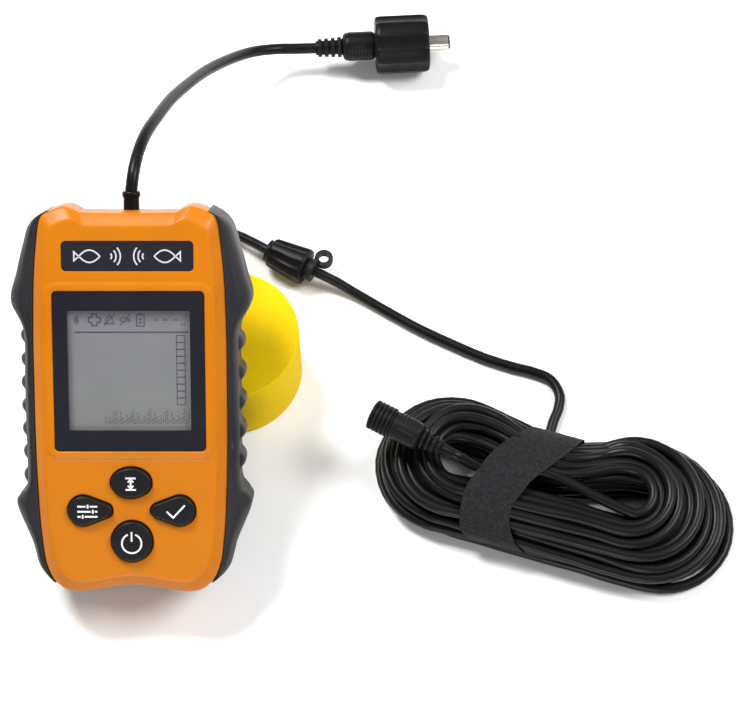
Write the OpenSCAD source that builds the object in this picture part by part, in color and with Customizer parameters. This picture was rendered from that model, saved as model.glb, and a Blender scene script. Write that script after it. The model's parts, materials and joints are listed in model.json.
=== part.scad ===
// Portable fish finder: a handheld sonar display leaning on its float, with the
// power pigtail and plug, the transducer in its float, and the transducer cable
// in a strapped hank that ends in a threaded jack.
// Millimetres. The floor is z = 0 and the case is seen with its keys towards -Y.

/* [Case] */
// Length of the handheld case
case_length = 114.3; // [95:0.1:140]
// Width of the case over both grips
case_width = 70; // [60:0.5:86]
// Thickness of the case, back to face
case_thickness = 27.5; // [25:0.5:33]
// Lean of the case back onto the float, from the floor
case_tilt = 35; // [25:1:45]
// Width of the display window
window_width = 43.6; // [38:0.1:46]
// Height of the display window
window_height = 46.6; // [42:0.1:48]

/* [Keys] */
// Diameter of the round power key
power_key_diameter = 11.9; // [9:0.1:13]
// How far the keys stand above the face
key_height = 1.4; // [0.8:0.1:2.5]
// How far a key can be pushed in
key_travel = 1; // [0.5:0.1:1.1]

/* [Float and transducer] */
// Diameter of the foam float
float_diameter = 44; // [34:0.5:54]
// Height of the foam float
float_height = 26.5; // [22:0.5:34]
// Diameter of the transducer puck in the float
transducer_diameter = 18.5; // [14:0.5:22]

/* [Cables and plugs] */
// Diameter of the power pigtail
pigtail_diameter = 3.7; // [3:0.1:4.5]
// Diameter of the transducer cable
cable_diameter = 3.3; // [2.8:0.1:4]
// Diameter of the power plug's barrel
barrel_diameter = 5.5; // [4:0.1:6.3]
// Diameter of the fluted coupling nut
nut_diameter = 19.4; // [17:0.1:23]
// Length of the hank of cable
hank_length = 110.6; // [95:0.1:130]
// Number of layers of cable in the hank
hank_layers = 5; // [4:1:7]

/* [Hidden] */
$fn = 64;

half_w = case_width / 2;
back_edge_r = 4.5;
wall = 2.3;
gap = 0.3;
parting_z = 12;
roof_z = case_thickness - wall;
grip_low_z = 3.5;
grip_high_z = case_thickness - 3;
curve_steps = 3;

// Right half of the case outline, [share of half width, share of length], from
// the bottom centre round to the notch at the top. The second list is the same
// walk over the grips' silhouette.
core_side = [
    [0, 0.023], [0.474, 0.005], [0.651, 0.030], [0.731, 0.079], [0.760, 0.140],
    [0.777, 0.201], [0.786, 0.262], [0.794, 0.332], [0.800, 0.437], [0.800, 0.542],
    [0.800, 0.647], [0.794, 0.735], [0.783, 0.822], [0.760, 0.901], [0.726, 0.967],
    [0.651, 0.987], [0.531, 0.999], [0.463, 0.994], [0.417, 0.987], [0.366, 0.983],
    [0, 0.982]
];
grip_side = [
    [0, 0.023], [0.474, 0.005], [0.674, 0.028], [0.800, 0.065], [0.863, 0.131],
    [0.985, 0.225], [0.960, 0.254], [0.894, 0.289], [0.894, 0.437], [0.894, 0.560],
    [0.897, 0.682], [1.000, 0.756], [0.949, 0.827], [0.886, 0.901], [0.831, 0.950],
    [0.714, 0.980], [0.531, 0.999], [0.463, 0.994], [0.417, 0.987], [0.366, 0.983],
    [0, 0.982]
];
grip_first = 2;
grip_last = 15;

// Cavity inside the shells
cavity_half_w = 24.8 / 35 * half_w;
cavity_low_y = 5;
cavity_high_y = case_length - 7.8;
cavity_r = 8;
seal_inset = 0.7;
seal_w = 1;
seal_half_t = 0.6;
seal_play = 0.05;

// Where things sit along the case, measured up from its bottom edge
power_y = 0.145 * case_length;
side_key_y = 0.225 * case_length;
oval_y = 0.2975 * case_length;
window_y = 0.583 * case_length;
plate_y = 0.8755 * case_length;
lower_screw_y = 9.5;
upper_screw_y = case_length - 11.3;
lower_screw_x = cavity_half_w - 3.5;
upper_screw_x = cavity_half_w - 4.3;
screw_r = 1.25;
board_post_x = cavity_half_w - 2.2;
board_low_post_y = window_y - 27.2;
board_high_post_y = window_y + 27;

plate_w = 37.6;
plate_h = 8.5;
plate_t = 0.65;
lens_t = 1.4;
lens_r = 1.3;
tape_t = 0.2;
view_w = window_width - 6.4;
view_h = window_height - 9.4;

board_z = 14.5;
board_t = 1.6;
board_top_z = board_z + board_t;
glass_t = 2.2;
glass_z = roof_z - 0.4 - glass_t;
backlight_t = glass_z - 0.2 - board_top_z;
frame_half_h = window_height / 2 + 1.2;
frame_half_w = window_width / 2 + 0.3;

// Keys: the big end of a side key points outwards
oval_w = 11.8;
oval_h = 8.9;
side_key_big_r = 4.4;
side_key_small_r = 2.1;
side_key_big_x = 14.1;
side_key_small_x = 7.7;
key_flange = 0.9;
key_flange_t = 1.2;
key_stem_r = 2.2;
mat_t = 1;
mat_z = board_top_z + 0.9;
pad_top_z = board_top_z + 3.5;
stem_z = pad_top_z + key_travel + gap;
key_top_z = case_thickness + key_height;

// Battery bay: four AAA cells side by side
cell_r = 5.25;
cell_l = 44.5;
cell_pitch = 11;
cell_count = 4;
bay_half_w = 22.9;
bay_low_y = 0.18 * case_length;
bay_l = 52;
bay_roof_z = 10.6;
bay_roof_t = 1;
cell_z = bay_roof_z - cell_r - 0.1;
cell_low_y = bay_low_y + 4.4;
cover_proud = 2.5;
cover_t = 1.6;
cover_half_w = bay_half_w + 1.7;
cover_travel = 7;
tongue_z = 1.5;
tongue_t = 0.8;
tongue_inner_x = bay_half_w - 1;
tongue_outer_x = bay_half_w + 1.3;
tongue_l = 8;
tongue_low = [8, 24, 40];

// The case stands on its lower back edge, leaning on the float's upper rim.
case_drop = back_edge_r * (1 - sin(case_tilt) - cos(case_tilt));
float_r = float_diameter / 2;
float_x = 25.5;
float_front_y = ((float_height - case_drop) * cos(case_tilt) + cover_proud + gap)
    / sin(case_tilt);
float_y = float_front_y + float_r;
cup_r = transducer_diameter / 2;
cup_h = 15;
cup_wall = 1.5;
cup_neck_r = 3.5;
cup_neck_h = 4;
float_cup_gap = 0.1;
float_hole_r = cable_diameter / 2 + 0.6;
float_fillet = 0.8;

// The part's origin is under the middle of the case and float together.
case_front_y = -(case_thickness - 2.6) * sin(case_tilt) + 0.9;
case_back_y = case_length * cos(case_tilt) - 2.2 * sin(case_tilt);
centre_x = (float_x + float_r - half_w) / 2;
centre_y = (case_front_y + max(case_back_y, float_y + float_r)) / 2;

gland_r = 2.35;
gland_z = 14;
gland_out = 3.3;
gland_flange_r = 4;
gland_flange_t = 1.5;
gland_lip = 0.3;
gland_lip_l = 1.4;
gland_y0 = cavity_high_y - gland_flange_t;
gland_l = case_length + gland_out - gland_y0;

// Power plug, laid along plug_turn on the floor, measured from the cable end
plug_at = [50.7, 183.8];
plug_turn = 3.2;
plug_z = nut_diameter / 2;
boot_l = 9.2;
plug_body_l = 10.7;
plug_body_r = 4.85;
core_neck_r = 4.1;
nut_start = boot_l + plug_body_l + gap;
nut_l = 18;
nut_back_t = 3.6;
nut_bore_r = nut_diameter / 2 - 1.9;
nut_lobes = 6;
lobe_depth = 0.45;
core_flange_x = nut_start + nut_back_t + gap;
core_flange_t = 1.6;
core_end = nut_start + 14;
barrel_end = boot_l + plug_body_l + 25.5;
barrel_bore_r = 1.05;
barrel_r = barrel_diameter / 2;
barrel_wall = 0.5;
spigot_r = barrel_r - 0.4;
spigot_l = 6;
tip_seat = 0.6;
tip_rim = 0.6;

// Cable stop: a fluted sleeve that turns on a core fixed to the cable
stop_at = [37.3, 107.2];
stop_turn = -27;
stop_l = 12.6;
stop_small_r = 4.8;
stop_big_r = 6.1;
stop_z = stop_big_r;
stop_core_r = 3.1;
stop_flange_r = 3.7;
stop_flange_t = 1;
stop_fit = 0.08;
stop_neck_l = 2.6;
stop_loop_r = 3;
stop_loop_w = 1.4;
stop_loop_t = 2;

// Hank of cable
hank_at = [124.5, 23.5];
hank_turn = -16.4;
hank_left_r = 21.5;
hank_right_r = 23.2;
hank_waist = 19.8;
strap_w = 15;
strap_t = 0.9;
strap_turn = -3.2;
hank_h = (hank_layers + 0.5) * cable_diameter;
hank_z = strap_t;
hank_top_z = hank_z + hank_h;

// Jack lying on the hank's left end, measured from its open end
jack_at = [70.1, 41.6];
jack_turn = -28.7;
jack_nose_r = 4.7;
jack_nose_l = 7.2;
jack_body_r = 4.25;
jack_body_l = 9.4;
jack_boot_r = 3.2;
jack_boot_l = 7.4;
jack_bore_r = 2.8;
jack_floor_t = 0.4;
jack_pin_recess = 1.2;
jack_pin_r = 1;
jack_z = hank_top_z + jack_nose_r;
jack_end = jack_nose_l + jack_body_l + jack_boot_l;

// Pigtail route: share of the way from gland to plug, then offsets in y and z
pigtail_route = [
    [0.012, 3.9, 2.9], [0.03, 9.2, 3.4], [0.06, 15.2, 1.8], [0.105, 20.9, -1.7],
    [0.16, 28.8, -8.5], [0.24, 34.8, -15.1], [0.33, 39.2, -21.1], [0.45, 39.3, -24.1],
    [0.58, 35.1, -23.3], [0.73, 24.7, -17.2], [0.865, 12.6, -9]
];
// Cable route over the back of the float, as offsets from the top of the float
over_float_route = [
    [0, 0, 3], [-1, 3, 9], [-3.5, 10.5, 12.5], [-8, 20, 10.5],
    [-12.5, 29, 2], [-16, 37, -10], [-17, 44.5, -20.5]
];
// Cable route along the floor before and after the cable stop
before_stop_route = [[11, 118.6, 1.9], [17.5, 118.6, 1.7], [25, 115.6, 2.8], [31, 111.6, 4.6]];
after_stop_route = [
    [58.5, 97.2, 4], [65.5, 93.5, 2.2], [77, 86.3, 1.65], [85.5, 81.2, 1.65],
    [94.7, 76.4, 1.65], [104.9, 71.5, 1.65], [114, 68.2, 1.65], [121, 66.2, 1.65],
    [126.3, 63.6, 1.65], [129, 58.5, 1.8], [128.6, 52.4, 3.2], [127, 46.5, 6.6],
    [125.6, 41.6, 9]
];

// Smooth curves through hand-chosen points -----------------------------------

function bend(a, b, c, d, t) = 0.5 * (
    2 * b + (c - a) * t + (2 * a - 5 * b + 4 * c - d) * t * t
    + (3 * b - a - 3 * c + d) * t * t * t
);

function smooth_loop(p, steps) = let (n = len(p)) [
    for (i = [0:n - 1], k = [0:steps - 1])
        bend(p[(i + n - 1) % n], p[i], p[(i + 1) % n], p[(i + 2) % n], k / steps)
];

function smooth_line(p, steps) = let (n = len(p)) [
    for (i = [0:n - 2], k = [0:steps - 1])
        bend(p[max(i - 1, 0)], p[i], p[i + 1], p[min(i + 2, n - 1)], k / steps),
    p[n - 1]
];

function carried(n, t) = let (v = n - (n * t) * t) v / norm(v);

function normals(ts, n, i = 0) = i == len(ts)
    ? []
    : let (m = carried(n, ts[i])) concat([m], normals(ts, m, i + 1));

// Outline of the case as one closed loop; blend 0 is the core, 1 the grips.
function half_outline(blend) = [
    for (i = [0:len(core_side) - 1])
        let (p = core_side[i] * (1 - blend) + grip_side[i] * blend)
            [p[0] * half_w, p[1] * case_length]
];

function case_loop(blend) = let (
    right = half_outline(blend),
    n = len(right),
    left = [for (i = [n - 2:-1:1]) [-right[i][0], right[i][1]]]
) smooth_loop(concat(right, left), curve_steps);

function inset_loop(p, d) = let (
    kx = 1 - d / half_w,
    cy = case_length / 2,
    ky = 1 - d / cy
) [for (q = p) [q[0] * kx, cy + (q[1] - cy) * ky]];

function at_height(p, z) = [for (q = p) [q[0], q[1], z]];

// Building blocks -------------------------------------------------------------

module loft(rings) {
    n = len(rings[0]);
    m = len(rings);
    low_mid = [0, case_length / 2, rings[0][0][2]];
    high_mid = [0, case_length / 2, rings[m - 1][0][2]];
    points = concat([for (ring = rings, p = ring) p], [low_mid, high_mid]);
    walls = [
        for (j = [0:m - 2], i = [0:n - 1])
            let (a = j * n + i, b = j * n + (i + 1) % n)
                each [[a, b + n, b], [a, a + n, b + n]]
    ];
    low_cap = [for (i = [0:n - 1]) [m * n, i, (i + 1) % n]];
    high_cap = [for (i = [0:n - 1]) [m * n + 1, (m - 1) * n + (i + 1) % n, (m - 1) * n + i]];
    polyhedron(points, concat(walls, low_cap, high_cap), convexity = 6);
}

module tube(path, r, sides = 10) {
    n = len(path);
    ts = [
        for (i = [0:n - 1])
            let (v = path[min(i + 1, n - 1)] - path[max(i - 1, 0)]) v / norm(v)
    ];
    ns = normals(ts, cross(ts[0], [0.31, 0.2, 0.93]));
    points = [
        for (i = [0:n - 1], k = [0:sides - 1])
            path[i] + r * (cos(360 * k / sides) * ns[i]
                + sin(360 * k / sides) * cross(ts[i], ns[i]))
    ];
    walls = [
        for (i = [0:n - 2], k = [0:sides - 1])
            let (a = i * sides + k, b = i * sides + (k + 1) % sides)
                each [[a, b + sides, b], [a, a + sides, b + sides]]
    ];
    first_cap = [[for (k = [0:sides - 1]) k]];
    last_cap = [[for (k = [sides - 1:-1:0]) (n - 1) * sides + k]];
    polyhedron(points, concat(walls, first_cap, last_cap), convexity = 8);
}

module slab(w, h, t, r) {
    linear_extrude(t) round_rect(w, h, r);
}

module round_rect(w, h, r) {
    square([w - 2 * r, h], center = true);
    square([w, h - 2 * r], center = true);
    for (x = [-1, 1], y = [-1, 1])
        translate([x * (w / 2 - r), y * (h / 2 - r)]) circle(r);
}

module round_frame(w, h, r, border) {
    difference() {
        round_rect(w, h, r);
        square([w - 2 * border, h - 2 * border], center = true);
    }
}

module mirrored_x() {
    children();
    mirror([1, 0, 0]) children();
}

module on_floor() {
    translate([-centre_x, -centre_y, 0]) children();
}

module in_case() {
    on_floor() translate([0, 0, case_drop]) rotate([case_tilt, 0, 0]) children();
}

module in_float() {
    on_floor() translate([float_x, float_y, 0]) children();
}

module laid(at, z, turn) {
    on_floor() translate([at[0], at[1], z]) rotate([0, 90, turn]) children();
}

module ring(r_out, r_in, h) {
    difference() {
        cylinder(r = r_out, h = h);
        translate([0, 0, -1]) cylinder(r = r_in, h = h + 2);
    }
}

module cavity(low_z, high_z) {
    h = cavity_high_y - cavity_low_y;
    translate([0, cavity_low_y + h / 2, low_z])
        slab(2 * cavity_half_w, h, high_z - low_z, cavity_r);
}

module at_case_screws() {
    for (x = [-1, 1]) {
        translate([x * lower_screw_x, lower_screw_y, 0]) children();
        translate([x * upper_screw_x, upper_screw_y, 0]) children();
    }
}

module at_board_posts() {
    for (x = [-1, 1], y = [board_low_post_y, board_high_post_y])
        translate([x * board_post_x, y, 0]) children();
}

// The seal's cord lies in both shells' rims and follows their outline. Play widens the groove.
module seal_groove(play = 0) {
    core = case_loop(0);
    half_t = seal_half_t + play;
    translate([0, 0, parting_z - half_t]) linear_extrude(2 * half_t) difference() {
        polygon(inset_loop(core, seal_inset - play));
        polygon(inset_loop(core, seal_inset + seal_w + play));
    }
}

// The gland passes between the shells just above their parting line.
module gland_hole() {
    translate([0, cavity_high_y - 1, gland_z]) rotate([-90, 0, 0]) cylinder(r = gland_r, h = 12);
}

// Key outlines: grow widens the whole outline by that much.
module power_shape(grow = 0) {
    translate([0, power_y]) circle(power_key_diameter / 2 + grow);
}

module oval_shape(grow = 0) {
    bar = oval_w - oval_h;
    translate([0, oval_y]) {
        for (x = [-1, 1]) translate([x * bar / 2, 0]) circle(oval_h / 2 + grow);
        square([bar, oval_h + 2 * grow], center = true);
    }
}

module side_shape(grow = 0) {
    run = side_key_big_x - side_key_small_x;
    lean = 90 + asin((side_key_big_r - side_key_small_r) / run);
    big = side_key_big_r + grow;
    small = side_key_small_r + grow;
    big_arc = [
        for (i = [0:20])
            let (a = -lean + 2 * lean * i / 20) [side_key_big_x + big * cos(a), big * sin(a)]
    ];
    small_arc = [
        for (i = [0:10])
            let (a = lean + (360 - 2 * lean) * i / 10)
                [side_key_small_x + small * cos(a), small * sin(a)]
    ];
    translate([0, side_key_y]) polygon(concat(big_arc, small_arc));
}

module key_solid(stem_at) {
    translate([0, 0, roof_z - gap]) linear_extrude(key_top_z - roof_z + gap) children(0);
    translate([0, 0, roof_z - gap - key_flange_t]) linear_extrude(key_flange_t) children(1);
    translate([stem_at[0], stem_at[1], stem_z])
        cylinder(r = key_stem_r, h = roof_z - gap - stem_z);
}

// Case ------------------------------------------------------------------------

module front_shell() {
    core = case_loop(0);
    color([0.93, 0.33, 0.04]) in_case() {
        difference() {
            loft([
                at_height(core, parting_z),
                at_height(core, case_thickness - 5),
                at_height(inset_loop(core, 0.6), case_thickness - 2.2),
                at_height(inset_loop(core, 3.2), case_thickness)
            ]);
            cavity(parting_z - 1, roof_z);
            front_shell_openings();
            gland_hole();
            seal_groove(seal_play);
        }
        difference() {
            at_case_screws() translate([0, 0, parting_z])
                ring(2.6, screw_r, roof_z - parting_z + 0.1);
            seal_groove(seal_play);
        }
        at_board_posts() translate([0, 0, board_top_z]) ring(2, 0.8, roof_z - board_top_z + 0.1);
    }
}

module front_shell_openings() {
    top = case_thickness + 1;
    translate([0, window_y, case_thickness - lens_t - tape_t])
        slab(window_width + 0.2, window_height + 0.2, 4, lens_r + 0.1);
    translate([0, window_y, roof_z - 1]) slab(view_w + 1.6, view_h + 1.6, top - roof_z + 1, 1);
    translate([0, plate_y, case_thickness - plate_t - 0.05])
        slab(plate_w + 0.2, plate_h + 0.2, 3, 1.3);
    translate([0, 0, roof_z - 1]) linear_extrude(top - roof_z + 1) {
        power_shape(gap);
        oval_shape(gap);
        mirrored_x() side_shape(gap);
    }
}

module back_shell() {
    core = case_loop(0);
    angles = [0, 18, 35, 52, 70, 90];
    rings = [
        for (a = angles)
            at_height(inset_loop(core, back_edge_r * (1 - sin(a))), back_edge_r * (1 - cos(a)))
    ];
    color([0.09, 0.09, 0.1]) in_case() {
        difference() {
            loft(concat(rings, [at_height(core, parting_z)]));
            cavity(wall, parting_z + 1);
            bay_space(-1, wall + 1);
            at_case_screws() {
                translate([0, 0, -1]) cylinder(r = 2.6, h = 4.4);
                cylinder(r = screw_r + 0.2, h = 20);
            }
            gland_hole();
            seal_groove(seal_play);
            cover_slots();
        }
        difference() {
            translate([-cavity_half_w - 0.5, bay_low_y - 1.8, wall - 0.5])
                cube([2 * cavity_half_w + 1, bay_l + 3.6, bay_roof_z + bay_roof_t - wall + 0.5]);
            bay_space(-1, bay_roof_z);
            cover_slots();
        }
        difference() {
            at_case_screws() translate([0, 0, 3.4]) ring(2.8, screw_r + 0.2, parting_z - 3.4);
            seal_groove(seal_play);
        }
    }
}

module bay_space(low_z, high_z) {
    translate([-bay_half_w, bay_low_y, low_z]) cube([2 * bay_half_w, bay_l, high_z - low_z]);
}

module cover_slots() {
    for (side = [-1, 1], y = tongue_low)
        translate([
            side * (bay_half_w + tongue_outer_x + gap) / 2,
            bay_low_y + y - cover_travel - gap + (tongue_l + cover_travel + 2 * gap) / 2,
            tongue_z + tongue_t / 2
        ])
            cube([
                tongue_outer_x + gap - bay_half_w + 0.1,
                tongue_l + cover_travel + 2 * gap,
                tongue_t + 2 * gap
            ], center = true);
}

module battery_cover() {
    color([0.1, 0.1, 0.11]) in_case() {
        translate([0, bay_low_y + bay_l / 2, -cover_proud])
            slab(2 * cover_half_w, bay_l + 3, cover_t, 3);
        translate([0, bay_low_y + bay_l / 2, -cover_proud + cover_t - 0.1]) linear_extrude(
            cover_proud - cover_t - gap + 0.1
        )
            round_frame(2 * cover_half_w, bay_l + 3, 3, 2);
        for (side = [-1, 1], y = tongue_low) cover_tongue(side, bay_low_y + y);
        for (i = [0:4])
            translate([-9, bay_low_y + bay_l - 8 + 1.8 * i, -cover_proud - 0.4]) cube([18, 0.8, 0.5]);
    }
}

module cover_tongue(side, low_y) {
    stem_x = side * (tongue_inner_x + (bay_half_w - gap - tongue_inner_x) / 2);
    translate([stem_x, low_y + tongue_l / 2, (tongue_z + tongue_t - cover_proud + cover_t) / 2])
        cube([
            bay_half_w - gap - tongue_inner_x,
            tongue_l,
            tongue_z + tongue_t + cover_proud - cover_t + 0.1
        ], center = true);
    translate([side * (tongue_inner_x + tongue_outer_x) / 2, low_y + tongue_l / 2, tongue_z + tongue_t / 2])
        cube([tongue_outer_x - tongue_inner_x, tongue_l, tongue_t], center = true);
}

// One grip: a band swept along the side of the case, stood off from the core by
// the grip outline and rounded from back to face.
module grip_body() {
    core = case_loop(0);
    skin = case_loop(1);
    shares = [0.1, 0.5, 0.8, 0.95, 1, 0.97, 0.88, 0.7, 0.3];
    steps = len(shares) - 1;
    step_z = (grip_high_z - grip_low_z) / steps;
    first = grip_first * curve_steps;
    count = (grip_last - grip_first) * curve_steps;
    sections = [
        for (i = [first:first + count])
            concat(
                [[core[i][0], core[i][1], grip_low_z]],
                [
                    for (k = [0:steps])
                        let (q = core[i] * (1 - shares[k]) + skin[i] * shares[k])
                            [q[0], q[1], grip_low_z + k * step_z]
                ],
                [[core[i][0], core[i][1], grip_high_z]]
            )
    ];
    n = steps + 3;
    points = [for (section = sections, p = section) p];
    walls = [
        for (j = [0:count - 1], i = [0:n - 1])
            let (a = j * n + i, b = j * n + (i + 1) % n)
                each [[a, b, b + n], [a, b + n, a + n]]
    ];
    first_cap = [[for (i = [n - 1:-1:0]) i]];
    last_cap = [[for (i = [0:n - 1]) count * n + i]];
    polyhedron(points, concat(walls, first_cap, last_cap), convexity = 6);
}

module grip_rib(r) {
    h = grip_high_z - grip_low_z - 6;
    rotate_extrude($fn = 32)
        polygon([[0, 0], [r * 0.6, 0], [r, 2.4], [r, h - 2.4], [r * 0.6, h], [0, h]]);
}

module grip_ribs(count, first_y, pitch, r) {
    core_x = 0.8 * half_w + 0.1;
    intersection() {
        for (i = [0:count - 1])
            translate([0.894 * half_w + 1.6 - r, first_y + pitch * i, grip_low_z + 3]) grip_rib(r);
        translate([core_x, 0, 0]) cube([half_w, case_length, case_thickness]);
    }
}

module left_grip() {
    color([0.13, 0.13, 0.14]) in_case() mirror([1, 0, 0]) {
        grip_body();
        grip_ribs(7, 0.302 * case_length, 0.0602 * case_length, 2.2);
    }
}

module right_grip() {
    color([0.13, 0.13, 0.14]) in_case() {
        grip_body();
        grip_ribs(5, 0.34 * case_length, 0.0762 * case_length, 2.8);
    }
}

module case_seal() {
    color([0.2, 0.2, 0.2]) in_case() difference() {
        seal_groove();
        gland_hole();
    }
}

module case_screws() {
    color([0.7, 0.7, 0.72]) in_case() at_case_screws() {
        translate([0, 0, 1.9]) cylinder(r = 2.2, h = 1.5);
        translate([0, 0, 3.3]) cylinder(r = screw_r, h = 14);
    }
}

// Display ----------------------------------------------------------------------

module window_lens() {
    color([0.03, 0.03, 0.06, 0.5]) in_case()
        translate([0, window_y, case_thickness - lens_t])
            slab(window_width, window_height, lens_t, lens_r);
}

module window_tape() {
    color([0.1, 0.1, 0.1]) in_case()
        translate([0, window_y, case_thickness - lens_t - tape_t]) linear_extrude(tape_t)
            round_frame(window_width, window_height, lens_r, 2.2);
}

module name_plate() {
    color([0.05, 0.06, 0.1]) in_case()
        translate([0, plate_y, case_thickness - plate_t - 0.05])
            slab(plate_w, plate_h, plate_t, 1.2);
}

module lcd_glass() {
    h = 2 * frame_half_h - 3;
    color([0.55, 0.58, 0.55]) in_case() translate([0, window_y, glass_z]) {
        translate([0, 0, glass_t / 2])
            linear_extrude(glass_t / 2) square([window_width - 2.6, h - 4], center = true);
        linear_extrude(glass_t / 2) square([window_width - 2.6, h], center = true);
    }
}

module lcd_frame() {
    color([0.85, 0.85, 0.83]) in_case() translate([0, window_y, board_top_z]) difference() {
        linear_extrude(roof_z - 0.1 - board_top_z)
            square([2 * frame_half_w, 2 * frame_half_h], center = true);
        translate([0, 0, -1]) linear_extrude(roof_z)
            square([window_width - 2.4, 2 * frame_half_h - 2.8], center = true);
    }
}

module backlight() {
    color([0.8, 0.85, 0.8]) in_case() translate([0, window_y, board_top_z])
        linear_extrude(backlight_t) square([window_width - 3, window_height - 8], center = true);
}

module contact_strips() {
    y = window_height / 2 - 1.6;
    color([0.9, 0.55, 0.6]) in_case() for (side = [-1, 1])
        translate([0, window_y + side * y, board_top_z])
            linear_extrude(glass_z - board_top_z) square([window_width - 5, 1.6], center = true);
}

// Electronics -------------------------------------------------------------------

module main_board() {
    low_y = lower_screw_y + 3.2;
    high_y = upper_screw_y - 3.5;
    color([0.05, 0.32, 0.14]) in_case() difference() {
        translate([0, (low_y + high_y) / 2, board_z])
            slab(2 * cavity_half_w - 1.6, high_y - low_y, board_t, 1.5);
        at_board_posts() translate([0, 0, board_z - 1]) cylinder(r = 1.1, h = 4);
    }
}

module board_screws() {
    color([0.72, 0.7, 0.62]) in_case() at_board_posts() {
        translate([0, 0, board_z - 1.2]) cylinder(r = 1.9, h = 1.2);
        translate([0, 0, board_z - 0.1]) cylinder(r = 0.8, h = 6);
    }
}

module main_chip() {
    color([0.08, 0.08, 0.08]) in_case() translate([0, window_y, board_z - 1.5]) {
        slab(12, 12, 1.2, 0.4);
        translate([0, 0, 0.9]) linear_extrude(0.6) square(13.6, center = true);
    }
}

module pulse_transformer() {
    color([0.75, 0.68, 0.25]) in_case() translate([12, case_length - 24, board_z - 8.5]) {
        translate([-5, -5.5, 0]) cube([10, 11, 2]);
        translate([-5, -5.5, 6.5]) cube([10, 11, 2]);
        translate([-3.4, -4.6, 1.5]) cube([6.8, 9.2, 5.5]);
    }
}

module capacitors() {
    color([0.1, 0.12, 0.3]) in_case() for (x = [-3.8, 3.8])
        translate([x, case_length - 24, board_z - 8]) cylinder(r = 3.15, h = 8);
}

module buzzer() {
    color([0.06, 0.06, 0.06]) in_case() translate([-14.5, case_length - 24, board_z - 5.5])
        ring(6, 0.8, 5.5);
}

module wire_header() {
    color([0.93, 0.9, 0.82]) in_case() translate([0, case_length - 17.5, board_z - 4.5])
        difference() {
            translate([-4, -2, 0]) cube([8, 4, 4.5]);
            translate([-3.2, 0.2, 1]) cube([6.4, 3, 2.6]);
        }
}

module lead_wires() {
    color([0.75, 0.08, 0.06]) in_case() for (side = [-1, 1])
        tube(smooth_line([
            [1.5 * side, case_length - 17.1, board_z - 2.3],
            [1.7 * side, case_length - 15, board_z - 2.4],
            [1.2 * side, case_length - 12, board_z - 1.2],
            [0.9 * side, gland_y0 - 0.1, gland_z]
        ], 3), 0.6, 8);
}

module at_key_centres() {
    translate([0, power_y, 0]) children();
    translate([0, oval_y, 0]) children();
    for (side = [-1, 1]) translate([side * side_key_big_x, side_key_y, 0]) children();
}

module key_domes() {
    color([0.8, 0.8, 0.78]) in_case() at_key_centres() translate([0, 0, board_top_z])
        cylinder(r1 = 3, r2 = 2.2, h = 0.6);
}

module keypad_mat() {
    low_y = power_y - 3.8;
    high_y = oval_y + 3.2;
    color([0.6, 0.6, 0.58]) in_case() difference() {
        union() {
            translate([0, (low_y + high_y) / 2, board_top_z])
                slab(2 * (side_key_big_x + 5), high_y - low_y, mat_z + mat_t - board_top_z, 2);
            at_key_centres() translate([0, 0, mat_z]) cylinder(r = 3, h = pad_top_z - mat_z);
        }
        at_key_centres() translate([0, 0, board_top_z - 1]) cylinder(r = 3.4, h = 1.9);
    }
}

module oval_key() {
    color([0.08, 0.08, 0.09]) in_case() key_solid([0, oval_y]) {
        oval_shape();
        oval_shape(key_flange);
    }
}

module left_key() {
    color([0.08, 0.08, 0.09]) in_case() mirror([1, 0, 0]) key_solid([side_key_big_x, side_key_y]) {
        side_shape();
        side_shape(key_flange);
    }
}

module right_key() {
    color([0.08, 0.08, 0.09]) in_case() key_solid([side_key_big_x, side_key_y]) {
        side_shape();
        side_shape(key_flange);
    }
}

module power_key() {
    color([0.08, 0.08, 0.09]) in_case() key_solid([0, power_y]) {
        power_shape();
        power_shape(key_flange);
    }
}

// Battery bay -------------------------------------------------------------------

module at_cells() {
    for (i = [0:cell_count - 1])
        translate([cell_pitch * (i - (cell_count - 1) / 2), 0, cell_z]) children();
}

module batteries() {
    color([0.12, 0.3, 0.16]) in_case() at_cells() translate([0, cell_low_y, 0])
        rotate([-90, 0, 0]) {
            cylinder(r = cell_r, h = cell_l - 1);
            cylinder(r = 1.9, h = cell_l);
        }
}

module contact_springs() {
    turns = 3;
    steps = 18;
    room = cell_low_y - bay_low_y - 0.4;
    color([0.78, 0.78, 0.76]) in_case() at_cells() translate([0, bay_low_y + 0.4, 0])
        rotate([-90, 0, 0]) tube([
            for (i = [0:steps])
                let (a = 360 * turns * i / steps, r = 3.6 - 1.8 * i / steps)
                    [r * cos(a), r * sin(a), 0.35 + (room - 0.7) * i / steps]
        ], 0.35, 6);
}

module contact_plates() {
    color([0.8, 0.8, 0.78]) in_case() at_cells() {
        translate([-4.4, bay_low_y, -4.2]) cube([8.8, 0.4, 8.6]);
        translate([-4.4, cell_low_y + cell_l, -4.2])
            cube([8.8, bay_low_y + bay_l - cell_low_y - cell_l, 8.6]);
    }
}

// Power pigtail and plug ----------------------------------------------------------

module gland() {
    color([0.08, 0.08, 0.09]) in_case() translate([0, gland_y0, gland_z]) rotate([-90, 0, 0]) {
        cylinder(r = gland_flange_r, h = gland_flange_t);
        cylinder(r = gland_r - 0.02, h = gland_l);
        translate([0, 0, gland_l - gland_lip_l]) cylinder(r = gland_r + gland_lip, h = gland_lip_l);
    }
}

function from_case(p) = [
    p[0],
    p[1] * cos(case_tilt) - p[2] * sin(case_tilt),
    p[1] * sin(case_tilt) + p[2] * cos(case_tilt) + case_drop
];

function pigtail_points() = let (
    a = from_case([0, case_length + gland_out, gland_z]),
    b = [plug_at[0], plug_at[1], plug_z]
) concat([a], [for (r = pigtail_route) a + r[0] * (b - a) + [0, r[1], r[2]]], [b]);

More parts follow.
